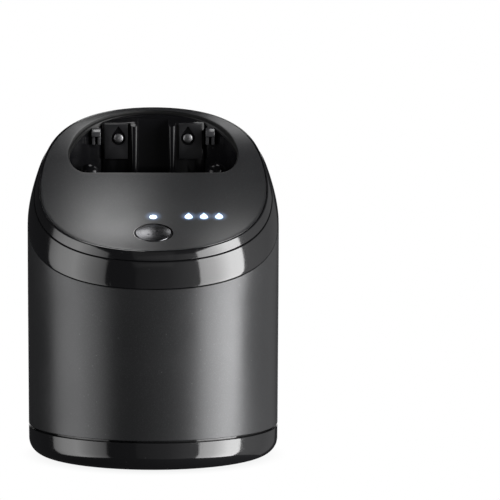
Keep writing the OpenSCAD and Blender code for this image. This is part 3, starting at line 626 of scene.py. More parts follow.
# Painted shade: the lip turns near-black where the bay's mouth falls dark
shade = blendColour(tree, paintedLipShade, shade, panelFinish["lip"])
satin = between(tree, drift, -1, 1, panelFinish["roughness"] - 0.015,
                panelFinish["roughness"] + 0.025)
spill = None
for x in lightPlaces:
    offset = farFrom(tree, place, (x, lights["y"] + lights["heartY"], sweepHeight(lights["y"])))
    glow = between(tree, offset, panelFinish["spillReach"], lights["statusRadius"])
    glow = calc(tree, "POWER", glow, panelFinish["spillFall"])
    spill = glow if spill is None else calc(tree, "ADD", spill, glow)
setShader(tree, shader, {
    "Base Color": shade, "Roughness": calc(tree, "ADD", satin, product(tree, smudge, 0.04)),
    "Metallic": product(tree, calc(tree, "SUBTRACT", 1.0, paintedLipShade), panelFinish["metallic"]),
    "Specular IOR Level": calc(tree, "SUBTRACT", 0.5, product(tree, paintedLipShade, 0.35)),
    "Emission Color": (*panelFinish["spill"], 1),
    "Emission Strength": product(tree, spill, panelFinish["spillPower"]),
    "Normal": bumped(tree, height, 0.2, 0.00003)})

# Bay: polished black, slightly wavy as moulded
polished("bay_black", (0.0035, 0.0035, 0.004), 0.13, 1.2, dust=0.2, specular=0.13)
polished("ring_black", (0.003, 0.003, 0.003), 0.12, 2.0)
polished("clip_grey", (0.03, 0.03, 0.032), 0.22, 1.5)
moulded("plate_grey", (0.009, 0.009, 0.01), 0.42, 2800.0, 0.15, specular=0.25)
moulded("frame_black", (0.022, 0.022, 0.024), 0.5, 1500.0, 0.4)
moulded("foot_rubber", (0.013, 0.013, 0.013), 0.75, 1900.0, 0.5, wear=0.3)
moulded("socket_black", (0.01, 0.01, 0.01), 0.45, 2200.0, 0.3)
moulded("filter_white", (0.62, 0.6, 0.55), 0.9, 900.0, 0.9)
moulded("pump_grey", (0.05, 0.052, 0.056), 0.42, 1800.0, 0.3)
moulded("fan_grey", (0.09, 0.09, 0.1), 0.4, 2000.0, 0.25)
moulded("lift_grey", (0.036, 0.037, 0.04), 0.36, 3000.0, 0.2, metallic=0.2, glint=0.6)
moulded("hose_grey", (0.42, 0.44, 0.47), 0.4, 1200.0, 0.15, coat=0.3)
moulded("cartridge_blue", (0.02, 0.09, 0.3), 0.2, 1400.0, 0.1, coat=0.4)
moulded("cartridge_white", (0.66, 0.69, 0.72), 0.26, 1600.0, 0.1, coat=0.3)
drawn("zinc_steel", (0.5, 0.51, 0.53), 0.3, (400, 3000, 3000))
drawn("spring_steel", (0.42, 0.43, 0.45), 0.28, (2500, 2500, 400))
drawn("pin_brass", (0.72, 0.52, 0.2), 0.25, (3000, 500, 3000))
drawn("motor_steel", (0.55, 0.56, 0.58), 0.3, (2600, 2600, 120))
drawn("contact_steel", (0.23, 0.23, 0.235), 0.33, (3500, 300, 3500))

# Circuit boards: solder mask with copper tracks and pads showing through
boardFinish = {"mask": (0.008, 0.06, 0.03), "track": (0.02, 0.13, 0.06), "pad": (0.6, 0.45, 0.2)}
tree, shader, place = startMaterial("board_green")
weave = put(tree, "ShaderNodeTexVoronoi", {"Vector": place, "Scale": 420.0}, distance="CHEBYCHEV")
lane = between(tree, weave.outputs["Distance"], 0.3, 0.36)
pads = put(tree, "ShaderNodeTexVoronoi", {"Vector": place, "Scale": 260.0})
pad = between(tree, pads.outputs["Distance"], 0.16, 0.13)
shade = blendColour(tree, lane, boardFinish["mask"], boardFinish["track"])
shade = blendColour(tree, pad, shade, boardFinish["pad"])
setShader(tree, shader, {"Base Color": shade, "Metallic": pad, "Roughness": 0.35,
                         "Normal": bumped(tree, lane, 0.2, 0.00004)})

# Start button: dark satin chrome, turned lines round its own centre
button = {"y": -0.0354, "radius": 0.0086, "crown": 0.0009, "edge": 0.0006, "sit": 0.0002,
          "skirt": 0.0036, "flange": 0.0006, "flangeHeight": 0.0007, "stem": 0.0043,
          "stemRadius": 0.0018, "ringWidth": 0.00065, "gap": 0.00025, "dotRadius": 0.00045,
          "dotSpread": 0.0022, "dotY": -0.003}
buttonFinish = {"colour": (0.085, 0.085, 0.09), "smudge": (0.2, 0.2, 0.21), "roughness": 0.24,
                "ringScale": 5200.0}
tree, shader, place = startMaterial("button_chrome")
apart = farFrom(tree, place, (0, button["y"], sweepHeight(button["y"])))
rings = put(tree, "ShaderNodeTexNoise", {"W": product(tree, apart, buttonFinish["ringScale"]),
                                         "Scale": 1.0, "Detail": 3.0},
            noise_dimensions="1D").outputs[0]
smudge = useGroup(tree, marks, place, 3.0)[0]
setShader(tree, shader, {
    "Base Color": blendColour(tree, product(tree, smudge, 0.4), buttonFinish["colour"],
                              buttonFinish["smudge"]),
    "Roughness": between(tree, rings, 0.3, 0.7, buttonFinish["roughness"] - 0.05,
                         buttonFinish["roughness"] + 0.07, False),
    "Metallic": 1.0, "Normal": bumped(tree, rings, 0.08, 0.00001)})

# Light guides: milky, lit from below, with a bright heart and a bluish rim
guideFinish = {"rim": (0.35, 0.58, 1.0), "heart": (0.9, 0.96, 1.0), "rimGlow": 0.9,
               "heartGlow": 1.5}
tree, shader, place = startMaterial("light_white")
heart = None
for x in lightPlaces:
    offset = farFrom(tree, place, (x, lights["y"] + (lights["heartY"] if x else 0),
                                   sweepHeight(lights["y"])))
    lit = between(tree, offset, lights["heartTo"], lights["heartFrom"])
    heart = lit if heart is None else calc(tree, "MAXIMUM", heart, lit)
milk = between(tree, noise(tree, place, 1500.0, 2.0), 0, 1, 0.85, 1.15)
colour = blendColour(tree, heart, guideFinish["rim"], guideFinish["heart"])
glow = between(tree, heart, 0, 1, guideFinish["rimGlow"], guideFinish["heartGlow"])
setShader(tree, shader, {"Base Color": colour, "Emission Color": colour,
                         "Emission Strength": product(tree, glow, milk), "Roughness": 0.3})
print("materials made")


# Base ring: rounded foot edge, flange under the base plate and a lip into the sleeve
footRing = {"fillet": 0.008, "footDrop": 0.0008, "flange": 0.049, "plateRadius": 0.0537,
            "plateFoot": 0.002, "plateTop": 0.0052, "bore": 0.0566, "lip": 0.001,
            "lipHeight": 0.0025, "edge": 0.00035, "lipEdge": 0.0003}
foot, fillet, ringTop = shell["footRadius"], footRing["fillet"], shell["ringHeight"]
lipRadius, lipTop = footRing["bore"] + footRing["lip"], ringTop + footRing["lipHeight"]
under = [(foot - fillet + fillet * math.cos(math.radians(a)),
          footRing["footDrop"] + fillet + fillet * math.sin(math.radians(a)), 0, 0)
         for a in range(-90, 1, 6)]
baseRing = sweptBand("baseRing", [
    (footRing["flange"], footRing["footDrop"], 0, 0.0002), *under,
    (foot, ringTop, 0, footRing["edge"]), (lipRadius, ringTop, 0, 0),
    (lipRadius, lipTop, 0, footRing["lipEdge"]), (footRing["bore"], lipTop, 0, footRing["lipEdge"]),
    (footRing["bore"], footRing["plateTop"], 0, 0),
    (footRing["plateRadius"], footRing["plateTop"], 0, 0),
    (footRing["plateRadius"], footRing["plateFoot"], 0, 0),
    (footRing["flange"], footRing["plateFoot"], 0, 0)], finishes["piano_black"])
socketMouth = {"halfWidth": 0.0062, "low": 0.006, "high": 0.0124, "front": 0.05, "back": 0.065}
cut(baseRing, [boxCutter((-socketMouth["halfWidth"], socketMouth["front"], socketMouth["low"]),
                         (socketMouth["halfWidth"], socketMouth["back"], socketMouth["high"]))])
finished(tidyMesh(baseRing, outward=False), "base_ring")

# Sleeve: tapered foot, straight wall, keyhole at the back and four screw bosses inside
sleeveShape = {"edge": 0.0004, "topDrop": shell["bandDrop"] + shell["seam"], "straight": 0.080,
               "innerEdge": 0.0002}
outer, bore = shell["sleeveRadius"], shell["boreRadius"]
sleeve = sweptBand("mainSleeve", [
    (foot, shell["sleeveFoot"], 0, sleeveShape["edge"]), (outer, sleeveShape["straight"], 0, 0),
    (outer, -sleeveShape["topDrop"], 1, sleeveShape["edge"]),
    (bore, -sleeveShape["topDrop"], 1, sleeveShape["innerEdge"]),
    (bore, shell["sleeveFoot"], 0, sleeveShape["innerEdge"])], finishes["anthracite_lacquer"])
keyHole = {"halfWidth": 0.0093, "low": 0.0467, "high": 0.0653, "front": 0.02, "back": 0.08}
cut(sleeve, [boxCutter((-keyHole["halfWidth"], keyHole["front"], keyHole["low"]),
                       (keyHole["halfWidth"], keyHole["back"], keyHole["high"]))])
boss = {"radius": 0.004, "hole": 0.00145, "low": 0.0628, "high": 0.068, "x": 0.0445,
        "ys": (-0.032, 0.022)}
bossWall = [(boss["hole"], boss["low"]), (boss["radius"], boss["low"]),
            (boss["radius"], boss["high"]), (boss["hole"], boss["high"])]
bosses = [tidyMesh(lathe("boss", bossWall, 24, Matrix.Translation((side * boss["x"], y, 0))))
          for side in (-1, 1) for y in boss["ys"]]
sleeve = joined("mainSleeve", [tidyMesh(sleeve, outward=False), *bosses])
finished(tidyMesh(sleeve, outward=False), "main_sleeve")

# Collar band: leans inward as it rises, with a tongue down into the sleeve
collar = {"height": 0.0115, "lean": 0.003, "leanPower": 1.5, "wall": 0.0022, "edge": 0.0003,
          "steps": 8, "tongueWall": 0.0015, "tongueHeight": 0.0025, "tongueGap": 0.0001}
bezel = {"height": 0.0039, "step": 0.00035, "panelLedge": 0.00245, "lipWidth": 0.0004,
         "ledgeWidth": 0.0014, "tail": 0.0008, "gap": 0.0002, "shoulder": (0.00045, -0.0003),
         "crown": (0.00008, -0.00004), "crownEdge": 0.00012}
collarTop = outer - collar["lean"]
bandTop = bezel["height"] + shell["seam"]
face = []
for i in range(collar["steps"] + 1):
    t = i / collar["steps"]
    face.append((outer - collar["lean"] * t ** collar["leanPower"],
                 -(shell["bandDrop"] - collar["height"] * t), 1,
                 collar["edge"] if t in (0, 1) else 0))
tongue, tongueDrop = bore - collar["tongueGap"], shell["bandDrop"] + collar["tongueHeight"]
finished(sweptBand("collarBand", [
    *face, (collarTop - collar["wall"], -bandTop, 1, 0),
    (outer - collar["lean"] / 2 - collar["wall"], -(bandTop + collar["height"] / 2), 1, 0),
    (tongue - collar["tongueWall"], -tongueDrop, 1, 0), (tongue, -tongueDrop, 1, 0),
    (tongue, -shell["bandDrop"], 1, 0)], finishes["piano_black"], 256), "collar_band")

# Bezel band: a narrow shoulder round the panel, with the ledge that carries it
topEdge = sweep["edgeRadius"]
inner = topEdge - bezel["lipWidth"]
ledge, tail = inner - bezel["ledgeWidth"], -bezel["height"] - bezel["tail"]
seat = collarTop - collar["wall"] - bezel["gap"]
finished(sweptBand("bezelBand", [
    (collarTop - bezel["step"], -bezel["height"], 1, 0.0002),
    (topEdge + bezel["shoulder"][0], bezel["shoulder"][1], 1, 0.0003),
    (topEdge + bezel["crown"][0], bezel["crown"][1], 1, bezel["crownEdge"]),
    (inner + 0.00005, 0, 1, 0.00003), (inner, -bezel["panelLedge"], 1, 0),
    (ledge, -bezel["panelLedge"], 1, 0), (ledge, tail, 1, 0), (seat, tail, 1, 0),
    (seat, -bezel["height"], 1, 0)], finishes["piano_black"], 256), "bezel_band")
print("outer shells made")


# Panel and bay
bay = {"radius": 0.0423, "centreY": 0.007, "frontY": 0.0084, "corner": 0.009, "wall": 0.002,
       "floor": 0.096, "under": 0.094, "floorFillet": 0.003, "drainY": 0.014, "drain": 0.004,
       "dish": 0.0006, "hubY": 0.02, "panelDepth": 0.0024, "panelRadius": 0.05425,
       "panelEdge": 0.00025, "mouthEdge": 0.0009, "rearLip": 0.0026, "lipFrom": 0.012,
       "lipTo": 0.034, "archSteps": 110, "cornerSteps": 28, "frontSteps": 44, "panelRows": 34,
       "underRows": 8, "floorRows": 6}


def quarter(step):
    return [math.radians(a) for a in range(0, 91, step)]


def bayOutline(grow=0.0):
    corner = bay["corner"] + grow
    cornerY = bay["frontY"] + bay["corner"]
    cornerX = math.sqrt((bay["radius"] - bay["corner"]) ** 2 - (cornerY - bay["centreY"]) ** 2)
    turn = math.atan2(cornerY - bay["centreY"], cornerX)
    spans = [(0, bay["centreY"], bay["radius"] + grow, turn, math.pi - turn, bay["archSteps"]),
             (-cornerX, cornerY, corner, math.pi - turn, 1.5 * math.pi, bay["cornerSteps"]),
             (cornerX, cornerY, corner, 1.5 * math.pi, 2 * math.pi + turn, bay["cornerSteps"])]
    points = []
    for x, y, r, first, last, steps in spans:
        for i in range(steps + 1):
            a = first + (last - first) * i / steps
            points.append(Vector((x + r * math.cos(a), y + r * math.sin(a))))
        if x < 0:
            left, right = points[-1], Vector((cornerX, bay["frontY"] - grow))
            points += [left.lerp(right, i / bay["frontSteps"])
                       for i in range(1, bay["frontSteps"])]
    return points[:-1] if (points[0] - points[-1]).length < 1e-7 else points


mouth = bayOutline()
hub = Vector((0, bay["hubY"]))


def rimLoop(radius):
    # The mouth's points carried outward from the hub to a circle round the upright axis
    made = []
    for point in mouth:
        way = (point - hub).normalized()
        reach = -hub.dot(way) + math.sqrt(hub.dot(way) ** 2 - hub.length_squared + radius ** 2)
        made.append(hub + way * reach)
    return made


def panelLoop(points, drop):
    return [(p.x, p.y, sweepHeight(p.y) - drop) for p in points]


def levelLoop(points, z):
    return [(*p, z) for p in points]


def mixed(first, second, share):
    return [p.lerp(q, share) for p, q in zip(first, second)]


def grown(points, distance):
    # The distance is one number or one for each point
    made = []
    for i, p in enumerate(points):
        along = (points[(i + 1) % len(points)] - points[i - 1]).normalized()
        reach = distance if isinstance(distance, float) else distance[i]
        made.append(p + Vector((along.y, -along.x)) * reach)
    return made


lipWidths = []
for p in mouth:
    t = min(1.0, max(0.0, (p.y - bay["lipFrom"]) / (bay["lipTo"] - bay["lipFrom"])))
    lipWidths.append(bay["mouthEdge"]
                     + (bay["rearLip"] - bay["mouthEdge"]) * t * t * (3 - 2 * t))
loops = [panelLoop(grown(mouth, [width * (1 - math.cos(turn)) for width in lipWidths]),
                   bay["mouthEdge"] * (1 - math.sin(turn))) for turn in quarter(10)]
edge = bay["panelEdge"]
innerEdge, outerEdge = grown(mouth, lipWidths), rimLoop(bay["panelRadius"] - edge)
loops += [panelLoop(mixed(innerEdge, outerEdge, i / bay["panelRows"]), 0)
          for i in range(1, bay["panelRows"])]
loops += [panelLoop(rimLoop(bay["panelRadius"] - edge * (1 - math.sin(turn))),
                    edge * (1 - math.cos(turn))) for turn in quarter(30)]
rim = rimLoop(bay["panelRadius"])
loops += [panelLoop(mixed(rim, mouth, i / bay["underRows"]), bay["panelDepth"])
          for i in range(bay["underRows"] + 1)]
panel = tidyMesh(loopSkin("topPanel", loops))


def dropOutline(radius, tip=0, count=40):
    # A circle, or a drop whose tip stands that many radii from the centre
    if not tip:
        return [Vector((radius * math.cos(2 * math.pi * i / count),
                        radius * math.sin(2 * math.pi * i / count))) for i in range(count)]
    half = math.acos(1 / tip)
    first, last = math.pi / 2 + half, 2.5 * math.pi - half
    angles = [first + (last - first) * i / count for i in range(count + 1)]
    return [Vector((0, tip * radius)),
            *[Vector((radius * math.cos(a), radius * math.sin(a))) for a in angles]]


def prism(name, outline, profile, matrix, centreY=0.0):
    # Carries an outline through (share of its size, height) pairs and closes both ends
    middle = Vector((0, centreY))
    loops = [[(*(middle + (p - middle) * share), z) for p in outline] for share, z in profile]
    return tidyMesh(loopSkin(name, loops, False, True, True, matrix))


def holeCutter(outline, matrix, reach=0.01):
    return prism("cutter", outline, [(1, -reach), (1, reach)], matrix)


def guideShape(x):
    return (lights["dropRadius"], lights["tip"]) if x else (lights["statusRadius"], 0)


holeRadius = button["radius"] + button["gap"] + button["ringWidth"]
buttonPlace = onPanel(0, button["y"])
cutters = [holeCutter(dropOutline(holeRadius, 0, 96), buttonPlace)]
for x in lightPlaces:
    cutters.append(holeCutter(dropOutline(*guideShape(x), 48), onPanel(x, lights["y"])))
cut(panel, cutters)
tidyMesh(panel, 40.0, False)

# The mask of the lip's painted shade: points of the bay's arch that lie below the panel's sweep
paintedLipShadeMask = panel.data.attributes.new("paintedLipShade", "FLOAT", "POINT")
bayCentre = Vector((0, bay["centreY"]))
maskReach, maskDrop = bay["radius"] + 1.1 * bay["rearLip"], bay["mouthEdge"] * 0.05
paintedLipShadeMask.data.foreach_set("value", [
    float((v.co.xy - bayCentre).length < maskReach and v.co.y > 0
          and sweepHeight(v.co.y) - v.co.z > maskDrop) for v in panel.data.vertices])
finished(panel, "top_panel")

# Basin: wall, rounded floor and drain
drainCentre = Vector((0, bay["drainY"]))
drainRing = [drainCentre + (p - drainCentre).normalized() * bay["drain"] for p in mouth]
outside, size = bayOutline(bay["wall"]), bay["floorFillet"]
basinLoops = [panelLoop(mouth, bay["panelDepth"])]
basinLoops += [levelLoop(grown(mouth, -size * (1 - math.cos(turn))),
                         bay["floor"] + size * (1 - math.sin(turn))) for turn in quarter(15)]
flat = grown(mouth, -size)
for i in range(1, bay["floorRows"] + 1):
    share = i / bay["floorRows"]
    basinLoops.append(levelLoop(mixed(flat, drainRing, share),
                                bay["floor"] - bay["dish"] * share ** 2))
basinLoops += [levelLoop(drainRing, bay["under"]), levelLoop(outside, bay["under"]),
               panelLoop(outside, bay["panelDepth"])]
basin = tidyMesh(loopSkin("cradleBasin", basinLoops))
duct = {"x": 0.029, "halfWidth": 0.0045, "front": 0.004, "back": 0.011, "low": 0.097,
        "high": 0.104}
hoseHole = {"x": -0.009, "y": 0.0075, "z": 0.102, "radius": 0.0014, "reach": 0.004}
hosePlace = Matrix.Translation((hoseHole["x"], hoseHole["y"], hoseHole["z"]))
cut(basin, [boxCutter((duct["x"] - duct["halfWidth"], duct["front"], duct["low"]),
                      (duct["x"] + duct["halfWidth"], duct["back"], duct["high"])),
            holeCutter(dropOutline(hoseHole["radius"], 0, 32),
                       hosePlace @ Matrix.Rotation(math.pi / 2, 4, "X"), hoseHole["reach"])])
finished(tidyMesh(basin, 40.0, False), "cradle_basin")
print("panel and bay made")


# Lights and start button
guideProfile = [(1, -lights["guideDepth"]), (1, -0.0001), (0.97, 0.00002), (0.88, 0.00005),
                (0.5, 0.00005)]
dropMiddle = 0.0008
guides = []
for x in lightPlaces:
    size, tip = guideShape(x)
    guides.append(prism("guide", dropOutline(size - lights["gap"], tip), guideProfile,
                        onPanel(x, lights["y"]), dropMiddle if tip else 0))
finished(tidyMesh(joined("statusLight", guides[:1])), "status_light")
finished(tidyMesh(joined("levelLights", guides[1:])), "level_lights")

domeRadius = (button["radius"] ** 2 + button["crown"] ** 2) / (2 * button["crown"])


def domeHeight(r):
    return button["sit"] + button["crown"] - domeRadius + math.sqrt(domeRadius ** 2 - r ** 2)


# Button: stem, flange under the panel, skirt, rounded edge and shallow dome with three dots
rimStart, flangeTop = button["radius"] - button["edge"], -button["skirt"] + button["flangeHeight"]
flangeRadius = holeRadius + button["flange"]
buttonProfile = [(0, -button["stem"]), (button["stemRadius"], -button["stem"]),
                 (button["stemRadius"], -button["skirt"]), (flangeRadius, -button["skirt"]),
                 (flangeRadius, flangeTop), (button["radius"], flangeTop)]
buttonProfile += [(rimStart + button["edge"] * math.cos(turn),
                   domeHeight(rimStart) - button["edge"] * (1 - math.sin(turn)))
                  for turn in quarter(15)]
buttonProfile += [(r, domeHeight(r)) for r in (rimStart * (1 - i / 12) for i in range(1, 12))]
buttonProfile.append((0, domeHeight(0)))
cap = tidyMesh(lathe("startButton", buttonProfile, 128, buttonPlace))
dot = button["dotRadius"]
dotProfile = [(0, -0.0002), (dot, -0.0002), (dot, 0.00004), (dot * 0.8, 0.00011),
              (dot * 0.4, 0.00015), (0, 0.00016)]
dotPoints = [(button["dotSpread"] * i, button["dotY"] - (0 if i else 0.0003),
              domeHeight(0.0036) - 0.00002) for i in (-1, 0, 1)]
dots = copies("buttonDots", lathe("dot", dotProfile, 20), dotPoints, finishes["button_chrome"],
              matrix=buttonPlace)
finished(tidyMesh(joined("startButton", [cap, dots]), outward=False), "start_button")

buttonRing = {"low": -0.0024, "shoulder": 0.00002, "top": 0.0001, "chamfer": 0.00012,
              "gap": 0.00005}
ringInner, ringOuter = holeRadius - button["ringWidth"], holeRadius - buttonRing["gap"]
buttonRingProfile = [(ringInner, buttonRing["low"]), (ringOuter, buttonRing["low"]),
                     (ringOuter, buttonRing["shoulder"]),
                     (ringOuter - buttonRing["chamfer"], buttonRing["top"]),
                     (ringInner + buttonRing["chamfer"], buttonRing["top"]),
                     (ringInner, buttonRing["shoulder"])]
finished(tidyMesh(lathe("startButtonRing", buttonRingProfile, 128, buttonPlace)),
         "start_button_ring")


# Repeated small pieces

def screw(headRadius, headHeight, shaftRadius, shaftLength, headDown=False):
    # Pan head with a cross recess; the head stands up from z 0 and the shaft runs below
    profile = [(0, -shaftLength), (shaftRadius * 0.7, -shaftLength),
               (shaftRadius, -shaftLength + 0.0006), (shaftRadius, 0), (headRadius, 0),
               (headRadius, headHeight * 0.45), (headRadius * 0.86, headHeight * 0.85),
               (headRadius * 0.55, headHeight), (0, headHeight)]
    made = tidyMesh(lathe("screw", profile, 32))
    arm, width, low, high = headRadius * 0.52, headRadius * 0.13, headHeight * 0.4, headHeight * 2
    cut(made, [boxCutter((-arm, -width, low), (arm, width, high)),
               boxCutter((-width, -arm, low), (width, arm, high))])
    if headDown:
        made.data.transform(Matrix.Rotation(math.pi, 4, "X"))
    return made


baseScrew = {"headRadius": 0.0028, "headHeight": 0.0012, "shaftRadius": 0.0015,
             "shaftLength": 0.009}
chassisScrew = {"headRadius": 0.0028, "headHeight": 0.0018, "shaftRadius": 0.00145,
                "shaftLength": 0.0082}
basePattern = {"x": 0.013, "inset": 0.004, "z": 0.002, "turn": 0.7}
chassisTurn = 1.1
columnFront, columnBack = (corner.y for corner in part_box("rear_column"))
basePoints = [(side * basePattern["x"], y, basePattern["z"]) for side in (-1, 1)
              for y in (columnFront + basePattern["inset"], columnBack - basePattern["inset"])]
finished(copies("baseScrews", screw(**baseScrew, headDown=True), basePoints,
                finishes["zinc_steel"], turn=basePattern["turn"]), "base_screws")
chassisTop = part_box("chassis_plate")[1].z
chassisPoints = [(side * boss["x"], y, chassisTop) for side in (-1, 1) for y in boss["ys"]]
finished(copies("chassisScrews", screw(**chassisScrew), chassisPoints, finishes["zinc_steel"],
                turn=chassisTurn), "chassis_screws")

# Feet: round pads with a shallow dish under them
rubber = {"radius": 0.006, "height": 0.002, "circle": 0.042, "edge": 0.0004, "dish": 0.0038,
          "dishDepth": 0.0003, "dishSlope": 0.0004}
edge, padRadius = rubber["edge"], rubber["radius"]
footProfile = [(0, rubber["dishDepth"]),
               (rubber["dish"] - rubber["dishSlope"], rubber["dishDepth"]), (rubber["dish"], 0),
               (padRadius - edge, 0), (padRadius - 0.3 * edge, 0.3 * edge), (padRadius, edge),
               (padRadius, rubber["height"]), (0, rubber["height"])]
footPoints = [(rubber["circle"] * math.cos(math.radians(a)),
               rubber["circle"] * math.sin(math.radians(a)), 0) for a in (45, 135, 225, 315)]
finished(copies("rubberFeet", tidyMesh(lathe("foot", footProfile, 48)), footPoints,
                finishes["foot_rubber"]), "rubber_feet")

# Fan: hub and disc with leaning blades
fan = {"blades": 12, "bladeFrom": 0.0085, "bladeTo": 0.0125, "low": 0.0743, "high": 0.081,
       "half": 0.0005, "lean": 0.0006, "discRadius": 0.013, "discLow": 0.074, "discHigh": 0.075,
       "hub": 0.005, "hubEdge": 0.0006, "hubHigh": 0.0818, "shaft": 0.0015, "shaftLow": 0.0714}
fanLow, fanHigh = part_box("fan_rotor")
fanPlace = Matrix.Translation(((fanLow.x + fanHigh.x) / 2, (fanLow.y + fanHigh.y) / 2, 0))
fanBody = lathe("fanRotor", [
    (0, fan["shaftLow"]), (fan["shaft"], fan["shaftLow"]), (fan["shaft"], fan["discLow"]),
    (fan["discRadius"], fan["discLow"]), (fan["discRadius"], fan["discHigh"]),
    (fan["hub"], fan["discHigh"]), (fan["hub"], fan["hubHigh"] - fan["hubEdge"]),
    (fan["hub"] - fan["hubEdge"], fan["hubHigh"]), (0, fan["hubHigh"])], 64, fanPlace)
bladePoints = [(r, s * fan["half"] + lean, z)
               for z, lean in ((fan["low"], 0), (fan["high"], fan["lean"]))
               for r in (fan["bladeFrom"], fan["bladeTo"]) for s in (-1, 1)]
blades = copies("fanBlades", tidyMesh(meshObject("blade", bladePoints, boxFaces)),
                [(0, 0, 0)] * fan["blades"], finishes["fan_grey"],
                turn=2 * math.pi / fan["blades"], matrix=fanPlace)
finished(tidyMesh(joined("fanRotor", [tidyMesh(fanBody), blades]), outward=False), "fan_rotor")

# Lift button spring: a coil laid along Y
coil = {"Radius": 0.0026, "Wire": 0.0004, "Turns": 4.0}
springLow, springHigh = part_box("lift_button_spring")
wire = coil["Wire"]
spring = runTree("liftButtonSpring", coilTree, {
    **coil, "Length": springHigh.y - springLow.y - 2 * wire, "Material": finishes["spring_steel"]})
spring.data.transform(
    Matrix.Translation((0, springLow.y + wire, (springLow.z + springHigh.z) / 2))
    @ Matrix.Rotation(-math.pi / 2, 4, "X"))
finished(tidyMesh(spring), "lift_button_spring")
print("repeated pieces made")


# Every other part: its own shape with merged faces, rounded edges and smooth walls
edges = {
    "contact_tower": 0.0006, "contact_plates": 0.0003, "cradle_clips": 0.0003,
    "cradle_rests": 0.0004, "base_plate": 0.0003, "rear_column": 0.0005,
    "power_socket": 0.0003, "power_socket_pins": 0.0003, "cartridge_tub": 0.0005,
    "cartridge_cover": 0.0004, "cartridge_filter": 0.0003, "pickup_tube": 0.0002,
    "indicator_board": 0.0001, "chassis_plate": 0.0004, "guide_rails": 0.0004,
    "latch_bracket": 0.0002, "pump_housing": 0.0005, "pump_motor": 0.0006,
    "nozzle_seals": 0.0002, "drain_tube": 0.0003, "supply_hose": 0.0002,
    "fan_housing": 0.0005, "air_duct": 0.0003, "main_board": 0.0001,
    "contact_pin_left": 0.0003, "contact_pin_right": 0.0003, "lift_button": 0.0004,
    "latch_hook": 0.0002, "pump_impeller": 0.0002}
for node, width in edges.items():
    bm = bmesh.new()
    bm.from_mesh(nodes[node].data)
    bmesh.ops.remove_doubles(bm, verts=bm.verts, dist=1e-6)
    bmesh.ops.dissolve_limit(bm, angle_limit=math.radians(0.6), verts=bm.verts, edges=bm.edges)
    mesh = bpy.data.meshes.new(node)
    bm.to_mesh(mesh)
    bm.free()
    made = linked("piece_" + node, mesh)
    bevel = made.modifiers.new("edge", "BEVEL")
    bevel.width, bevel.segments, bevel.limit_method = width, 3, "ANGLE"
    bevel.angle_limit = math.radians(38)
    finished(tidyMesh(applied(made), 38.0, False), node)

# The lift springs keep their own meshes, as the lift stretches them
for node in ("lift_spring_left", "lift_spring_right"):
    dressed(nodes[node], node)
print("other pieces made")


# Floor: pale paper seen by the camera only, with a soft contact shade under the foot
ground = {"half": 3.0, "contact": 0.12, "shadeFrom": 0.048, "shadeTo": 0.066}
half = ground["half"]
floor = meshObject("floor", [(-half, -half, 0), (half, -half, 0), (half, half, 0),
                             (-half, half, 0)], [(0, 1, 2, 3)])
paper = bpy.data.materials.new("palePaper")
paper.use_nodes = True
tree = paper.node_tree
tree.nodes.remove(tree.nodes["Principled BSDF"])
place = tree.nodes.new("ShaderNodeTexCoord").outputs["Object"]
shade = between(tree, farFrom(tree, place, (0, 0, 0)), ground["shadeFrom"], ground["shadeTo"],
                1 - ground["contact"], 1.0)
bright = put(tree, "ShaderNodeEmission", {"Color": (1, 1, 1, 1), "Strength": shade})
giveOut(tree, tree.nodes["Material Output"], bright.outputs[0])
floor.data.materials.append(paper)
for rays in ("diffuse", "glossy", "transmission", "shadow"):
    setattr(floor, "visible_" + rays, False)

# World: white behind the object, a dim room in its gloss
room = {"dim": (0.018, 0.018, 0.019), "white": (1, 1, 1)}
world = bpy.data.worlds.new("studio")
world.use_nodes = True
scene.world = world
tree = world.node_tree
ray = tree.nodes.new("ShaderNodeLightPath").outputs["Is Camera Ray"]
join(tree, blendColour(tree, ray, room["dim"], room["white"]), tree.nodes["Background"].inputs[0])


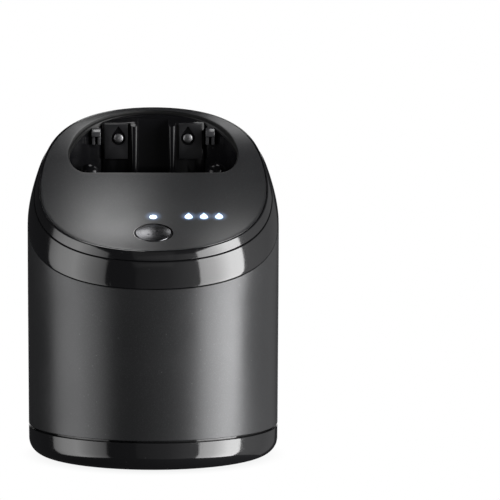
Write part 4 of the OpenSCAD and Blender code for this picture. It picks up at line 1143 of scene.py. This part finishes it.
def softbox(name, radiance, azimuths, strengths=(1.0,), elevation=0.0, distance=1.0, height=1.5,
            width=None, target=(0, 0, 0.09), spread=180):
    # Azimuth 0 is on the camera's side and grows to the right. Strengths run evenly from the
    # first azimuth to the second
    first, last = (math.radians(a) for a in azimuths)
    width = width or 2 * distance * math.tan((last - first) / 2)
    data = bpy.data.lights.new(name, "AREA")
    data.shape, data.size, data.size_y = "RECTANGLE", width, height
    data.energy, data.spread = radiance * width * height * math.pi, math.radians(spread)
    lamp = linked(name, data)
    a, e = (first + last) / 2, math.radians(elevation)
    away = Vector((math.sin(a) * math.cos(e), -math.cos(a) * math.cos(e), math.sin(e)))
    across = Vector((math.cos(a), math.sin(a), 0))
    turn = Matrix((across, away.cross(across), away)).transposed().to_4x4()
    lamp.matrix_world = Matrix.Translation(Vector(target) + away * distance) @ turn
    lamp.visible_camera = False
    if len(strengths) > 1:
        data.use_nodes = True
        tree = data.node_tree
        face = tree.nodes.new("ShaderNodeNewGeometry").outputs["Parametric"]
        share = put(tree, "ShaderNodeSeparateXYZ", {0: face}).outputs[0]
        graded = put(tree, "ShaderNodeValToRGB", {0: share})
        ramp = graded.color_ramp
        while len(ramp.elements) < len(strengths):
            ramp.elements.new(0.5)
        for i, (stop, value) in enumerate(zip(ramp.elements, strengths)):
            stop.position, stop.color = i / (len(strengths) - 1), (value, value, value, 1)
        join(tree, graded.outputs[0], tree.nodes["Emission"].inputs["Strength"])


# Softboxes and the two small lamps close above the panel
lamps = {
    "right": {"radiance": 14.0, "azimuths": (41, 85), "strengths": (0.45, 0.62, 0.98, 0.95)},
    "rightInner": {"radiance": 0.6, "azimuths": (-15, 40), "strengths": (0.12, 0.3, 1.0)},
    "rightRear": {"radiance": 0.9, "azimuths": (86, 150), "strengths": (1.0, 0.4, 0.15)},
    "left": {"radiance": 4.4, "azimuths": (-102, -42), "strengths": (0.3, 0.7, 0.95, 0.55, 0.25)},
    "top": {"radiance": 0.95, "azimuths": (181, 181), "elevation": 57, "distance": 0.15,
            "height": 0.06, "width": 0.035, "target": (-0.022, -0.026, 0.115), "spread": 80},
    "topRight": {"radiance": 3.4, "azimuths": (177, 177), "elevation": 43, "distance": 0.16,
                 "height": 0.035, "width": 0.03, "target": (0.038, -0.046, 0.107)},
    "back": {"radiance": 2.4, "azimuths": (166, 194), "strengths": (0.1, 1.0, 0.1),
             "elevation": 4, "distance": 1.4, "height": 0.9},
    "fill": {"radiance": 0.15, "azimuths": (0, 0), "elevation": 42, "distance": 1.6,
             "height": 0.7, "width": 0.9}}
for name, values in lamps.items():
    softbox(name, **values)

# Camera
view = {"distance": 1.436, "height": 0.2375, "aim": 0.0827, "lens": 215.7, "shiftX": 0.1936,
        "shiftY": 0.0673, "near": 0.05}
camera = linked("camera", bpy.data.cameras.new("camera"))
camera.location = (0, -view["distance"], view["height"])
pitch = math.atan2(view["height"] - view["aim"], view["distance"])
camera.rotation_euler = (math.pi / 2 - pitch, 0, 0)
camera.data.lens, camera.data.clip_start = view["lens"], view["near"]
camera.data.shift_x, camera.data.shift_y = view["shiftX"], view["shiftY"]
scene.camera = camera
scene.view_settings.view_transform = "Standard"
print("stage set")
